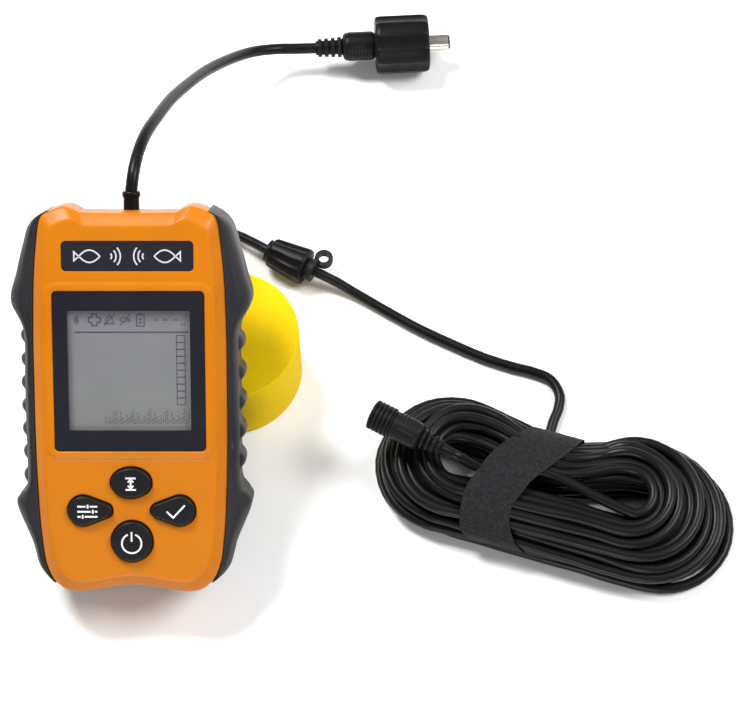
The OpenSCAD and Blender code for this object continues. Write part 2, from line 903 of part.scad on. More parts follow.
module pigtail() {
    color([0.07, 0.07, 0.08]) on_floor()
        tube(smooth_line(pigtail_points(), 2), pigtail_diameter / 2);
}

module in_plug() {
    laid(plug_at, plug_z, plug_turn) children();
}

module plug_boot() {
    color([0.08, 0.08, 0.09]) in_plug() {
        cylinder(r1 = 2.3, r2 = 3.1, h = boot_l);
        for (i = [0:3]) translate([0, 0, 0.8 + 2.2 * i]) cylinder(r = 3.4, h = 1.3);
    }
}

module plug_body() {
    color([0.08, 0.08, 0.09]) in_plug() translate([0, 0, boot_l]) {
        cylinder(r1 = 3.9, r2 = plug_body_r, h = 1.2);
        translate([0, 0, 1.1]) cylinder(r = plug_body_r, h = plug_body_l - 1.1);
    }
}

module plug_core() {
    color([0.12, 0.12, 0.13]) in_plug() difference() {
        union() {
            translate([0, 0, nut_start - gap]) cylinder(r = core_neck_r, h = core_end - nut_start + gap);
            translate([0, 0, core_flange_x]) cylinder(r = 5.8, h = core_flange_t);
        }
        translate([0, 0, core_flange_x + 4]) ring(core_neck_r + 1, core_neck_r - 0.7, 1.5);
        translate([0, 0, core_end - spigot_l]) cylinder(r = spigot_r, h = spigot_l + 1);
    }
}

module plug_ring_seal() {
    color([0.5, 0.12, 0.08]) in_plug() translate([0, 0, core_flange_x + 4.75])
        rotate_extrude() translate([core_neck_r - 0.02, 0]) circle(0.68);
}

module plug_barrel() {
    color([0.8, 0.78, 0.72]) in_plug() {
        translate([0, 0, core_end - spigot_l]) cylinder(r = spigot_r, h = spigot_l + 0.2);
        translate([0, 0, core_end]) difference() {
            cylinder(r = barrel_r, h = barrel_end - core_end - tip_rim);
            translate([0, 0, tip_seat]) cylinder(r = barrel_r - barrel_wall, h = 30);
        }
    }
}

module plug_tip() {
    color([0.05, 0.05, 0.05]) in_plug() difference() {
        translate([0, 0, core_end + tip_seat])
            cylinder(r = barrel_r - barrel_wall, h = barrel_end - core_end - tip_seat);
        translate([0, 0, barrel_end - 9]) cylinder(r = barrel_bore_r, h = 10);
    }
}

// Fluted grip sleeve: a cylinder with shallow broad scallops cut along it.
module fluted(r_low, r_high, l, lobes, depth) {
    scallop_r = r_high * 1.1;
    difference() {
        cylinder(r1 = r_low, r2 = r_high, h = l);
        for (i = [0:lobes - 1])
            rotate([0, 0, 360 * (i + 0.5) / lobes])
                translate([(r_low + r_high) / 2 - depth + scallop_r, 0, -1])
                    cylinder(r = scallop_r, h = l + 2);
    }
}

module coupling_nut() {
    color([0.08, 0.08, 0.09]) in_plug() translate([0, 0, nut_start]) difference() {
        fluted(nut_diameter / 2, nut_diameter / 2, nut_l, nut_lobes, lobe_depth);
        translate([0, 0, -1]) cylinder(r = core_neck_r + 0.08, h = nut_l);
        translate([0, 0, nut_back_t]) cylinder(r = nut_bore_r, h = nut_l);
    }
}

// Float and transducer -------------------------------------------------------------

module float() {
    f = float_fillet;
    color([0.95, 0.83, 0.05]) in_float() difference() {
        rotate_extrude($fn = 128) polygon(concat(
            [[0, 0]],
            [for (a = [0:30:90]) [float_r - f + f * sin(a), f - f * cos(a)]],
            [for (a = [0:30:90]) [float_r - f + f * cos(a), float_height - f + f * sin(a)]],
            [[0, float_height]]
        ));
        translate([0, 0, -1]) cylinder(r = cup_r + float_cup_gap, h = cup_h + gap + 1);
        cylinder(r = cup_neck_r + float_cup_gap, h = cup_h + cup_neck_h + gap);
        cylinder(r = float_hole_r, h = float_height + 1);
    }
}

module transducer_cup() {
    color([0.1, 0.1, 0.11]) in_float() difference() {
        union() {
            cylinder(r = cup_r, h = cup_h);
            cylinder(r = cup_neck_r, h = cup_h + cup_neck_h);
        }
        translate([0, 0, cup_wall]) cylinder(r = cup_r - cup_wall, h = cup_h - 2 * cup_wall);
    }
}

module piezo_disc() {
    color([0.7, 0.6, 0.4]) in_float() translate([0, 0, cup_wall])
        cylinder(r = cup_r - cup_wall - 0.8, h = 2.5);
}

module backing_pad() {
    color([0.55, 0.4, 0.25]) in_float() translate([0, 0, cup_wall + 2.5])
        cylinder(r = cup_r - cup_wall - 0.8, h = 2);
}

module potting() {
    color([0.15, 0.15, 0.17]) in_float() translate([0, 0, cup_wall]) difference() {
        cylinder(r = cup_r - cup_wall, h = cup_h - 2 * cup_wall);
        translate([0, 0, -1]) cylinder(r = cup_r - cup_wall - 0.8, h = 5.5);
    }
}

// Transducer cable, stop, hank and jack ----------------------------------------------

function stop_point(u) = [
    stop_at[0] + u * cos(stop_turn), stop_at[1] + u * sin(stop_turn), stop_z
];

function cable_points() = concat(
    [[float_x, float_y, cup_h + cup_neck_h]],
    [for (r = over_float_route) [float_x, float_y, float_height] + r],
    before_stop_route,
    [stop_point(-1), stop_point(stop_l / 2), stop_point(stop_l + stop_neck_l + 0.5)],
    after_stop_route
);

module transducer_cable() {
    color([0.07, 0.07, 0.08]) on_floor()
        tube(smooth_line(cable_points(), 2), cable_diameter / 2, 8);
}

module in_stop() {
    laid(stop_at, stop_z, stop_turn) children();
}

module stop_core() {
    end = stop_l + stop_flange_t + gap;
    color([0.08, 0.08, 0.09]) in_stop() difference() {
        union() {
            translate([0, 0, -stop_flange_t - gap]) cylinder(r = stop_flange_r, h = stop_flange_t);
            translate([0, 0, -stop_flange_t - gap]) cylinder(r = stop_core_r, h = end + stop_flange_t + gap);
            translate([0, 0, stop_l + gap]) cylinder(r = stop_flange_r, h = stop_neck_l);
            translate([-stop_loop_t / 2, stop_flange_r + 1.6, stop_l + gap + stop_loop_r + 0.4])
                rotate([0, 90, 0]) ring(stop_loop_r, stop_loop_r - stop_loop_w, stop_loop_t);
        }
        translate([0, 0, -5]) cylinder(d = cable_diameter - 0.06, h = stop_l + 12);
    }
}

module stop_nut() {
    color([0.08, 0.08, 0.09]) in_stop() difference() {
        fluted(stop_small_r, stop_big_r, stop_l, 6, 0.35);
        translate([0, 0, -1]) cylinder(r = stop_core_r + stop_fit, h = stop_l + 2);
    }
}

module in_hank() {
    on_floor() translate([hank_at[0], hank_at[1], 0]) rotate([0, 0, hank_turn]) children();
}

module cable_hank() {
    left_x = -hank_length / 2 + hank_left_r;
    right_x = hank_length / 2 - hank_right_r;
    color([0.07, 0.07, 0.08]) in_hank() translate([0, 0, hank_z]) {
        translate([left_x, 0, 0]) cylinder(r = hank_left_r, h = hank_h);
        translate([right_x, 0, 0]) cylinder(r = hank_right_r, h = hank_h);
        translate([left_x, -hank_waist, 0]) cube([right_x - left_x, 2 * hank_waist, hank_h]);
    }
}

module hank_strap() {
    outer_w = 2 * (hank_waist + strap_t + 0.1);
    outer_h = hank_h + 2 * strap_t;
    color([0.09, 0.09, 0.1]) in_hank() rotate([90, 0, 90 + strap_turn])
        translate([0, outer_h / 2, -strap_w / 2]) difference() {
            slab(outer_w, outer_h, strap_w, 2);
            translate([0, 0, -1]) slab(outer_w - 2 * strap_t, outer_h - 2 * strap_t, strap_w + 2, 1.1);
        }
}

function jack_point(u) = [
    jack_at[0] + u * cos(jack_turn), jack_at[1] + u * sin(jack_turn), jack_z
];

module cable_tail() {
    color([0.07, 0.07, 0.08]) on_floor() tube(smooth_line([
        jack_point(jack_end), jack_point(jack_end + 4),
        [101.5, 25.4, hank_top_z + 2.6], [108, 21.9, hank_top_z]
    ], 2), cable_diameter / 2, 8);
}

module in_jack() {
    laid(jack_at, jack_z, jack_turn) children();
}

module jack_nose() {
    color([0.08, 0.08, 0.09]) in_jack() difference() {
        union() {
            cylinder(r = jack_nose_r - 0.5, h = jack_nose_l);
            for (i = [0:4]) translate([0, 0, 0.2 + 1.35 * i]) cylinder(r = jack_nose_r, h = 0.8);
        }
        translate([0, 0, -1]) cylinder(r = jack_bore_r, h = jack_nose_l - jack_floor_t + 1);
    }
}

module jack_body() {
    color([0.08, 0.08, 0.09]) in_jack() translate([0, 0, jack_nose_l]) {
        cylinder(r = jack_body_r, h = jack_body_l - 1);
        translate([0, 0, jack_body_l - 1.1]) cylinder(r1 = jack_body_r, r2 = jack_boot_r, h = 1.1);
    }
}

module jack_boot() {
    color([0.08, 0.08, 0.09]) in_jack() translate([0, 0, jack_nose_l + jack_body_l]) {
        cylinder(r1 = jack_boot_r - 0.5, r2 = 2.1, h = jack_boot_l);
        for (i = [0:3]) translate([0, 0, 0.7 + 1.8 * i]) cylinder(r = jack_boot_r - 0.22 * i, h = 0.9);
    }
}

module jack_pin() {
    color([0.8, 0.78, 0.7]) in_jack() translate([0, 0, jack_pin_recess])
        cylinder(r = jack_pin_r, h = jack_nose_l - jack_floor_t - jack_pin_recess);
}

front_shell();
back_shell();
left_grip();
right_grip();
case_seal();
case_screws();
window_lens();
window_tape();
name_plate();
lcd_glass();
lcd_frame();
backlight();
contact_strips();
main_board();
board_screws();
main_chip();
pulse_transformer();
capacitors();
buzzer();
wire_header();
lead_wires();
key_domes();
keypad_mat();
oval_key();
left_key();
right_key();
power_key();
batteries();
contact_springs();
contact_plates();
battery_cover();
gland();
pigtail();
plug_boot();
plug_body();
plug_core();
plug_ring_seal();
plug_barrel();
plug_tip();
coupling_nut();
float();
transducer_cup();
piezo_disc();
backing_pad();
potting();
transducer_cable();
stop_core();
stop_nut();
cable_hank();
hank_strap();
cable_tail();
jack_boot();
jack_body();
jack_nose();
jack_pin();
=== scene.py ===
"""Portable fish finder: display case, foam float, plug pigtail and hank of cable."""
import json
from math import asin, cos, pi, radians, sin, sqrt, tau

import bmesh
import bpy
from mathutils import Matrix, Vector


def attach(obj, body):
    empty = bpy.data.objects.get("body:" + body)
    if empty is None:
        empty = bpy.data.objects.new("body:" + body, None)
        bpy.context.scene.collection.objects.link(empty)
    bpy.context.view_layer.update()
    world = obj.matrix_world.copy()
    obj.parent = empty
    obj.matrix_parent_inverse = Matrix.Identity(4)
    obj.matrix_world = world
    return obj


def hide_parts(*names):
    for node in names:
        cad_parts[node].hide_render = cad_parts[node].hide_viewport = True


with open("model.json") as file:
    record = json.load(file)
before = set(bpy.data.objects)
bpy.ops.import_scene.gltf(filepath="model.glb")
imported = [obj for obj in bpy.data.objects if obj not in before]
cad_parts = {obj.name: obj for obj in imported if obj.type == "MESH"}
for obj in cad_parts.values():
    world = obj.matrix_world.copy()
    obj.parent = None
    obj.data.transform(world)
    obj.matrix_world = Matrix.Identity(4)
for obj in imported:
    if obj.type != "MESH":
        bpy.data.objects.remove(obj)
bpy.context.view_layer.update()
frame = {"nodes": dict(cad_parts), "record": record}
NODES = frame["nodes"]

# Sizes in millimetres, as in the CAD model ------------
MM = 0.001
CASE_L = 114.3
HALF_W = 35.0
CASE_T = 27.5
CASE_TILT = radians(35)
BACK_EDGE_R = 4.5
CASE_DROP = BACK_EDGE_R * (1 - sin(CASE_TILT) - cos(CASE_TILT))
CENTRE = Vector((6.25, 39.49, 0))
PARTING_Z = 12.0
ROOF_Z = 25.0
TOP_DRAFT = 2.6
SEAM = 0.1

# Right halves of outlines seen from the front, from the lower end to the upper one, as
# (share of half the width, share of the length)
NOTCH_SIDE = [(0.531, 0.999), (0.463, 0.994), (0.417, 0.987), (0.366, 0.983), (0, 0.982)]
CORE_SIDE = [
    (0, 0.023), (0.474, 0.005), (0.651, 0.030), (0.731, 0.079), (0.760, 0.140),
    (0.777, 0.201), (0.786, 0.262), (0.794, 0.332), (0.800, 0.437), (0.800, 0.542),
    (0.800, 0.647), (0.794, 0.735), (0.783, 0.822), (0.760, 0.901), (0.726, 0.967),
    (0.651, 0.987),
] + NOTCH_SIDE
GRIP_SIDE = [
    (0, 0.023), (0.474, 0.005), (0.674, 0.028), (0.800, 0.065), (0.863, 0.131),
    (0.985, 0.225), (0.960, 0.254), (0.894, 0.289), (0.894, 0.437), (0.894, 0.560),
    (0.897, 0.682), (1.000, 0.756), (0.949, 0.827), (0.886, 0.901), (0.831, 0.950),
    (0.714, 0.980),
] + NOTCH_SIDE
# Points of the outline between which the grips lie
GRIP_FIRST = 2
GRIP_LAST = 15

POWER_Y = 0.145 * CASE_L
SIDE_KEY_Y = 0.225 * CASE_L
OVAL_Y = 0.2975 * CASE_L
WINDOW_Y = 0.583 * CASE_L
PLATE_Y = 0.8755 * CASE_L
# Widths, lengths and corner radii
WINDOW = (43.6, 46.6, 1.3)
PLATE = (37.6, 8.5, 1.2)
LCD = (35.3, 35.0, 0.3)
LCD_Y = 66.8
LCD_Z = 25.9
KEY_TOP = CASE_T + 1.4
POWER_KEY_R = 5.95
OVAL_KEY = (5.9, 4.45)
BAY_HALF_W = 22.9
BAY_LOW_Y = 0.18 * CASE_L
BAY_L = 52.0
BAY_ROOF_Z = 10.6
FIRST_BAR = 7.6
BAR_PITCH = 1.8
SCREWS = [(21.3, 9.5), (20.5, CASE_L - 11.3)]
GLAND_Z = 14.0
GLAND_Y0 = CASE_L - 9.3
GLAND_END = CASE_L + 3.3

FLOAT_AT = Vector((25.5, 67.25, 0))
FLOAT_R = 22.0
FLOAT_H = 26.5
FLOAT_BORE_R = 9.35
FLOAT_HOLE_R = 2.25
CABLE_EXIT = FLOAT_AT + Vector((0, 0, 19))
PIGTAIL_D = 3.7
CABLE_D = 3.3
PLUG_AT = Vector((50.7, 183.8, 9.7))
PLUG_TURN = radians(3.2)
STOP_AT = Vector((37.3, 107.2, 6.1))
STOP_TURN = radians(-27)
STOP_L = 12.6
HANK_AT = Vector((124.5, 23.5, 0))
HANK_TURN = radians(-16.4)
HANK_LEFT_R = 21.5
HANK_RIGHT_R = 23.2
HANK_L = 110.6
HANK_WAIST = 19.8
HANK_TOP = 19.05
STRAP_W = 15.0
STRAP_T = 0.9
STRAP_TURN = radians(-3.2)
JACK_AT = Vector((70.1, 41.6, HANK_TOP + 4.7))
JACK_TURN = radians(-28.7)
JACK_L = 24.0


# Frames: each takes millimetres of one part of the object to metres ------------
def bench(p):
    """A point on the floor plan, in millimetres, as a point in metres."""
    return (Vector(p) - CENTRE) * MM


def laid(at, turn):
    """Frame of something round that lies along the floor; its own axis is Z."""
    return (
        Matrix.Translation(bench(at))
        @ Matrix.Rotation(turn, 4, "Z")
        @ Matrix.Rotation(pi / 2, 4, "Y")
        @ Matrix.Scale(MM, 4)
    )


CASE = (
    Matrix.Translation(bench((0, 0, CASE_DROP)))
    @ Matrix.Rotation(CASE_TILT, 4, "X")
    @ Matrix.Scale(MM, 4)
)
GLAND = CASE @ Matrix.Translation((0, GLAND_Y0, GLAND_Z)) @ Matrix.Rotation(-pi / 2, 4, "X")
FLOAT = Matrix.Translation(bench(FLOAT_AT)) @ Matrix.Scale(MM, 4)
PLUG = laid(PLUG_AT, PLUG_TURN)
STOP = laid(STOP_AT, STOP_TURN)
JACK = laid(JACK_AT, JACK_TURN)
HANK = (
    Matrix.Translation(bench(HANK_AT))
    @ Matrix.Rotation(HANK_TURN, 4, "Z")
    @ Matrix.Scale(MM, 4)
)


# Camera ------------
def make_camera():
    """Camera fitted to the photo, at an assumed angle and distance."""
    data = bpy.data.cameras.new("camera")
    data.lens = 102.76
    data.sensor_width = 36
    data.clip_start = 0.01
    camera = bpy.data.objects.new("camera", data)
    camera.location = (0.06452, -0.26683, 0.61475)
    camera.rotation_euler = (radians(26), 0, 0)
    bpy.context.scene.collection.objects.link(camera)
    bpy.context.scene.camera = camera


# Materials ------------
def node(tree, kind, x=0, **values):
    made = tree.nodes.new(kind)
    made.location = (x, 0)
    for key, value in values.items():
        if key in made.inputs:
            made.inputs[key].default_value = value
        else:
            setattr(made, key, value)
    return made


def coords(tree):
    return node(tree, "ShaderNodeTexCoord", -1200).outputs["Object"]


def noise(tree, where, scale, detail=3.0, rough=0.5):
    made = node(tree, "ShaderNodeTexNoise", -800, Scale=scale, Detail=detail, Roughness=rough)
    tree.links.new(where, made.inputs["Vector"])
    return made.outputs["Fac"]


def ramp(tree, value, low, high, a, b):
    made = node(tree, "ShaderNodeValToRGB", -500)
    made.color_ramp.elements[0].position = low
    made.color_ramp.elements[1].position = high
    made.color_ramp.elements[0].color = (*a, 1)
    made.color_ramp.elements[1].color = (*b, 1)
    tree.links.new(value, made.inputs["Fac"])
    return made.outputs["Color"]


def span(tree, value, low, high):
    made = node(tree, "ShaderNodeMapRange", -500)
    made.inputs["To Min"].default_value = low
    made.inputs["To Max"].default_value = high
    tree.links.new(value, made.inputs["Value"])
    return made.outputs["Result"]


def start_material(name, rough):
    made = bpy.data.materials.new(name)
    made.use_nodes = True
    tree = made.node_tree
    shader = tree.nodes["Principled BSDF"]
    shader.inputs["Roughness"].default_value = rough
    return made, tree, shader


def add_bump(tree, shader, height, strength, depth_mm):
    bump = node(tree, "ShaderNodeBump", -250)
    bump.inputs["Strength"].default_value = strength
    bump.inputs["Distance"].default_value = depth_mm * MM
    tree.links.new(height, bump.inputs["Height"])
    tree.links.new(bump.outputs["Normal"], shader.inputs["Normal"])


def mixed(tree, first, second, factor):
    mix = node(tree, "ShaderNodeMix", -350, data_type="RGBA")
    mix.inputs["Factor"].default_value = factor
    tree.links.new(first, mix.inputs["A"])
    tree.links.new(second, mix.inputs["B"])
    return mix.outputs["Result"]


def moulded(name, dark, light, rough, grain_mm, strength, spread=0.08, coat=0.0, metal=0.0, shine=0.5):
    """Moulded plastic, rubber or metal: cloudy colour, uneven gloss and a fine grain."""
    made, tree, shader = start_material(name, rough)
    where = coords(tree)
    cloud = noise(tree, where, 60, 4)
    tree.links.new(ramp(tree, cloud, 0.3, 0.7, dark, light), shader.inputs["Base Color"])
    smudge = noise(tree, where, 160, 5, 0.6)
    tree.links.new(span(tree, smudge, rough - spread, rough + spread), shader.inputs["Roughness"])
    add_bump(tree, shader, noise(tree, where, 1 / (grain_mm * MM), 2), strength, grain_mm * 0.3)
    shader.inputs["Coat Weight"].default_value = coat
    shader.inputs["Coat Roughness"].default_value = 0.12
    shader.inputs["Metallic"].default_value = metal
    shader.inputs["Specular IOR Level"].default_value = shine
    return made


def worn_plastic(name, dark, light, edge, rough, grain_mm, strength, shine=0.14):
    """Dark plastic whose handled edges have gone a little paler."""
    made = moulded(name, dark, light, rough, grain_mm, strength, shine=shine)
    tree = made.node_tree
    shader = tree.nodes["Principled BSDF"]
    colour = shader.inputs["Base Color"].links[0].from_socket
    geometry = node(tree, "ShaderNodeNewGeometry", -800)
    bright = ramp(tree, geometry.outputs["Pointiness"], 0.52, 0.62, (0, 0, 0), edge)
    mix = node(tree, "ShaderNodeMix", -350, data_type="RGBA", blend_type="ADD")
    mix.inputs["Factor"].default_value = 1.0
    tree.links.new(colour, mix.inputs["A"])
    tree.links.new(bright, mix.inputs["B"])
    tree.links.new(mix.outputs["Result"], shader.inputs["Base Color"])
    return made


def foam_material():
    """Closed-cell foam: tight round cells, with darker pits between them."""
    made, tree, shader = start_material("foam", 0.85)
    where = coords(tree)
    cells = node(tree, "ShaderNodeTexVoronoi", -800, Scale=1700)
    tree.links.new(where, cells.inputs["Vector"])
    body = ramp(tree, noise(tree, where, 260, 5), 0.3, 0.75, (0.68, 0.46, 0.001), (0.73, 0.50, 0.002))
    pits = ramp(tree, cells.outputs["Distance"], 0.1, 0.75, (0.75, 0.52, 0.002), (0.58, 0.37, 0.001))
    tree.links.new(mixed(tree, body, pits, 0.3), shader.inputs["Base Color"])
    shader.inputs["Specular IOR Level"].default_value = 0.15
    add_bump(tree, shader, cells.outputs["Distance"], 0.3, -0.1)
    return made


def strap_material():
    """Woven hook and loop strap: crossing threads, mottled charcoal and black."""
    made, tree, shader = start_material("strap_weave", 0.9)
    mapping = node(tree, "ShaderNodeMapping", -1000)
    mapping.inputs["Rotation"].default_value = (0, 0, -HANK_TURN - STRAP_TURN)
    tree.links.new(coords(tree), mapping.inputs["Vector"])
    where = mapping.outputs["Vector"]
    across = node(tree, "ShaderNodeTexWave", -800, Scale=420, Distortion=1.5, Detail=2)
    along = node(tree, "ShaderNodeTexWave", -800, Scale=420, Distortion=1.5, Detail=2)
    along.bands_direction = "Y"
    for wave in (across, along):
        tree.links.new(where, wave.inputs["Vector"])
    weave = node(tree, "ShaderNodeMath", -600, operation="MULTIPLY")
    tree.links.new(across.outputs["Fac"], weave.inputs[0])
    tree.links.new(along.outputs["Fac"], weave.inputs[1])
    threads = ramp(tree, weave.outputs[0], 0.05, 0.8, (0.003, 0.003, 0.004), (0.022, 0.022, 0.024))
    fuzz = noise(tree, where, 900, 3)
    mottle = ramp(tree, fuzz, 0.35, 0.65, (0.004, 0.004, 0.005), (0.019, 0.019, 0.021))
    tree.links.new(mixed(tree, threads, mottle, 0.5), shader.inputs["Base Color"])
    shader.inputs["Sheen Weight"].default_value = 0.06
    shader.inputs["Specular IOR Level"].default_value = 0.2
    add_bump(tree, shader, weave.outputs[0], 0.6, 0.15)
    return made


def lcd_material():
    """Grey display: bluish at its top and greener at its bottom, with a faint pixel grid."""
    made, tree, shader = start_material("lcd", 0.25)
    split = node(tree, "ShaderNodeSeparateXYZ", -1000)
    tree.links.new(coords(tree), split.inputs["Vector"])
    low = (CASE @ Vector((0, LCD_Y - LCD[1] / 2, LCD_Z)))[1]
    high = (CASE @ Vector((0, LCD_Y + LCD[1] / 2, LCD_Z)))[1]
    height = node(tree, "ShaderNodeMapRange", -800)
    height.inputs["From Min"].default_value = low
    height.inputs["From Max"].default_value = high
    tree.links.new(split.outputs["Y"], height.inputs["Value"])
    tint = ramp(tree, height.outputs["Result"], 0.0, 1.0, (0.185, 0.19, 0.18), (0.18, 0.182, 0.205))
    mist = noise(tree, coords(tree), 90, 3)
    cloud = ramp(tree, mist, 0.3, 0.7, (0.175, 0.178, 0.18), (0.215, 0.218, 0.222))
    tree.links.new(mixed(tree, tint, cloud, 0.35), shader.inputs["Base Color"])
    grid = node(tree, "ShaderNodeTexBrick", -800, Scale=900)
    grid.offset = 0
    tree.links.new(coords(tree), grid.inputs["Vector"])
    add_bump(tree, shader, grid.outputs["Fac"], 0.05, 0.02)
    return made


def pane_material():
    """Thin clear pane: almost all of it lets the display through."""
    made = moulded("clear_pane", (0.02, 0.02, 0.03), (0.03, 0.03, 0.04), 0.08, 3.0, 0.02, 0.02)
    made.node_tree.nodes["Principled BSDF"].inputs["Alpha"].default_value = 0.06
    return made


BLACK = (0.005, 0.005, 0.006)
SOFT_BLACK = (0.010, 0.010, 0.011)
WORN_EDGE = (0.02, 0.02, 0.02)


def outer_materials():
    return {
        "orange_shell": moulded(
            "orange_shell", (0.44, 0.128, 0.0005), (0.48, 0.142, 0.001), 0.38, 0.35, 0.10, 0.05, shine=0.2),
        "black_shell": worn_plastic("black_shell", BLACK, SOFT_BLACK, WORN_EDGE, 0.45, 0.4, 0.35),
        "grip_rubber": worn_plastic(
            "grip_rubber", (0.007, 0.007, 0.009), (0.013, 0.013, 0.015), WORN_EDGE,
            0.5, 0.3, 0.35, shine=0.3),
        "window": moulded(
            "window_print", (0.008, 0.008, 0.013), (0.010, 0.010, 0.015), 0.2, 2.0, 0.02, 0.03, shine=0.3),
        "plate": moulded("plate", (0.009, 0.009, 0.014), (0.012, 0.012, 0.018), 0.4, 0.4, 0.08, shine=0.18),
        "keys": worn_plastic("keys", BLACK, (0.008, 0.008, 0.009), WORN_EDGE, 0.42, 0.25, 0.2),
        "plug_plastic": worn_plastic(
            "plug_plastic", (0.003, 0.003, 0.004), (0.006, 0.006, 0.007), (0.011, 0.011, 0.011),
            0.38, 0.3, 0.25, shine=0.1),
        "nickel": moulded("nickel", (0.68, 0.63, 0.55), (0.8, 0.76, 0.68), 0.2, 0.25, 0.1, metal=1.0),
        "cable": moulded(
            "cable_jacket", (0.0035, 0.0035, 0.004), (0.007, 0.007, 0.0075),
            0.34, 0.5, 0.12, 0.06, shine=0.15),
        "foam": foam_material(),
        "strap": strap_material(),
        "lcd": lcd_material(),
        "pane": pane_material(),
        "print": moulded("white_print", (0.62, 0.63, 0.66), (0.74, 0.75, 0.78), 0.5, 0.2, 0.1),
        "plate_print": moulded("plate_print", (0.42, 0.43, 0.47), (0.5, 0.51, 0.55), 0.5, 0.2, 0.1),
        "segment": moulded("segment", (0.05, 0.052, 0.075), (0.065, 0.067, 0.09), 0.35, 0.3, 0.05),
    }


def inner_materials():
    return {
        "seal_rubber": moulded("seal_rubber", BLACK, SOFT_BLACK, 0.7, 0.3, 0.2),
        "steel": moulded("steel", (0.5, 0.5, 0.5), (0.62, 0.62, 0.6), 0.3, 0.2, 0.15, metal=1.0),
        "white_plastic": moulded("white_plastic", (0.62, 0.62, 0.58), (0.72, 0.72, 0.68), 0.5, 0.4, 0.1),
        "board": moulded("board", (0.01, 0.09, 0.035), (0.015, 0.13, 0.05), 0.4, 0.5, 0.2),
        "black_parts": moulded("black_parts", BLACK, SOFT_BLACK, 0.5, 0.4, 0.2),
        "brass": moulded("brass", (0.6, 0.42, 0.14), (0.72, 0.52, 0.2), 0.35, 0.3, 0.15, metal=1.0),
        "silicone": moulded("silicone", (0.3, 0.3, 0.29), (0.38, 0.38, 0.36), 0.6, 0.4, 0.1),
        "cells": moulded("cells", (0.02, 0.12, 0.05), (0.03, 0.16, 0.06), 0.35, 0.6, 0.1, coat=0.4),
    }


MATERIALS = {**outer_materials(), **inner_materials()}


# Mesh tools ------------
def finish_mesh(bm, name, place, look, replaced=(), sharp=35, body="case"):
    """Turns a bmesh in local millimetres into a piece that rides on a body."""
    bmesh.ops.remove_doubles(bm, verts=bm.verts, dist=1e-4)
    bmesh.ops.recalc_face_normals(bm, faces=bm.faces)
    bm.transform(place)
    mesh = bpy.data.meshes.new(name)
    bm.to_mesh(mesh)
    bm.free()
    mesh.shade_smooth()
    mesh.set_sharp_from_angle(angle=radians(sharp))
    mesh.materials.append(MATERIALS[look])
    made = bpy.data.objects.new(name, mesh)
    bpy.context.scene.collection.objects.link(made)
    weighted = made.modifiers.new("weighted_normals", "WEIGHTED_NORMAL")
    weighted.keep_sharp = True
    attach(made, body)
    if replaced:
        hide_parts(*replaced)
    return made


def add_ring(bm, points):
    return [bm.verts.new(p) for p in points]


def bridge(bm, a, b):
    count = len(a)
    for i in range(count):
        bm.faces.new((a[i], a[(i + 1) % count], b[(i + 1) % count], b[i]))


def add_skin(bm, loops):
    """Skins loops of points that all have the same count; returns their rings."""
    rings = [add_ring(bm, loop) for loop in loops]
    for a, b in zip(rings, rings[1:]):
        bridge(bm, a, b)
    return rings


def add_loft(bm, loops, low_cap=True):
    """Skins loops of points and caps the last, and unless told otherwise the first."""
    rings = add_skin(bm, loops)
    if low_cap:
        bm.faces.new(rings[0])
    bm.faces.new(rings[-1])
    return rings


def circle(r, z, count=64, flutes=0, depth=0.0):
    """Ring of points; flutes are broad shallow scallops of that depth."""
    points = []
    for i in range(count):
        a = tau * i / count
        dip = depth * max(0.0, -cos(flutes * a)) ** 0.7 if flutes else 0.0
        points.append(((r - dip) * cos(a), (r - dip) * sin(a), z))
    return points


def add_lathe(bm, profile, count=64, flutes=0, depth=0.0, hollow=False):
    """Turns (radius, height) or (radius, height, flute share) into a closed skin.

    A hollow one has its last ring joined to its first instead of two caps.
    """
    loops = []
    for station in profile:
        share = station[2] if len(station) > 2 else 0.0
        loops.append(circle(station[0], station[1], count, flutes, depth * share))
    if hollow:
        rings = add_skin(bm, loops)
        bridge(bm, rings[-1], rings[0])
    else:
        add_loft(bm, loops)


def round_rect(size, grow=0.0, steps=7):
    """Points round a rectangle with round corners, grown outwards."""
    w = size[0] / 2 + grow
    h = size[1] / 2 + grow
    r = max(size[2] + grow, 0.05)
    points = []
    for k, (sx, sy) in enumerate(((1, 1), (-1, 1), (-1, -1), (1, -1))):
        for i in range(steps + 1):
            a = pi / 2 * (k + i / steps)
            points.append((sx * (w - r) + r * cos(a), sy * (h - r) + r * sin(a)))
    return points


def ellipse(a, b, grow=0.0, count=56):
    return [((a + grow) * cos(tau * i / count), (b + grow) * sin(tau * i / count)) for i in range(count)]


def teardrop(side, grow=0.0):
    """Side key: a big round end outwards and a small one inwards, seen from above."""
    big_x, small_x, big_r, small_r = 14.1, 7.7, 4.4 + grow, 2.1 + grow
    lean = pi / 2 + asin(2.3 / (big_x - small_x))
    points = []
    for i in range(33):
        a = -lean + 2 * lean * i / 32
        points.append((side * (big_x + big_r * cos(a)), big_r * sin(a)))
    for i in range(17):
        a = lean + (tau - 2 * lean) * i / 16
        points.append((side * (small_x + small_r * cos(a)), small_r * sin(a)))
    return points


def power_key(grow):
    return ellipse(POWER_KEY_R, POWER_KEY_R, grow)


def oval_key(grow):
    return ellipse(*OVAL_KEY, grow)


def right_key(grow):
    return teardrop(1, grow)


def left_key(grow):
    return teardrop(-1, grow)


def lifted(points, y, z):
    return [(p[0], p[1] + y, z) for p in points]


def fill_between(bm, loops):
    """Fills the flat area inside the first loop of vertices and outside the others."""
    edges = []
    for loop in loops:
        for i, v in enumerate(loop):
            other = loop[(i + 1) % len(loop)]
            edges.append(bm.edges.get((v, other)) or bm.edges.new((v, other)))
    bmesh.ops.triangle_fill(bm, use_beauty=True, use_dissolve=False, edges=edges)


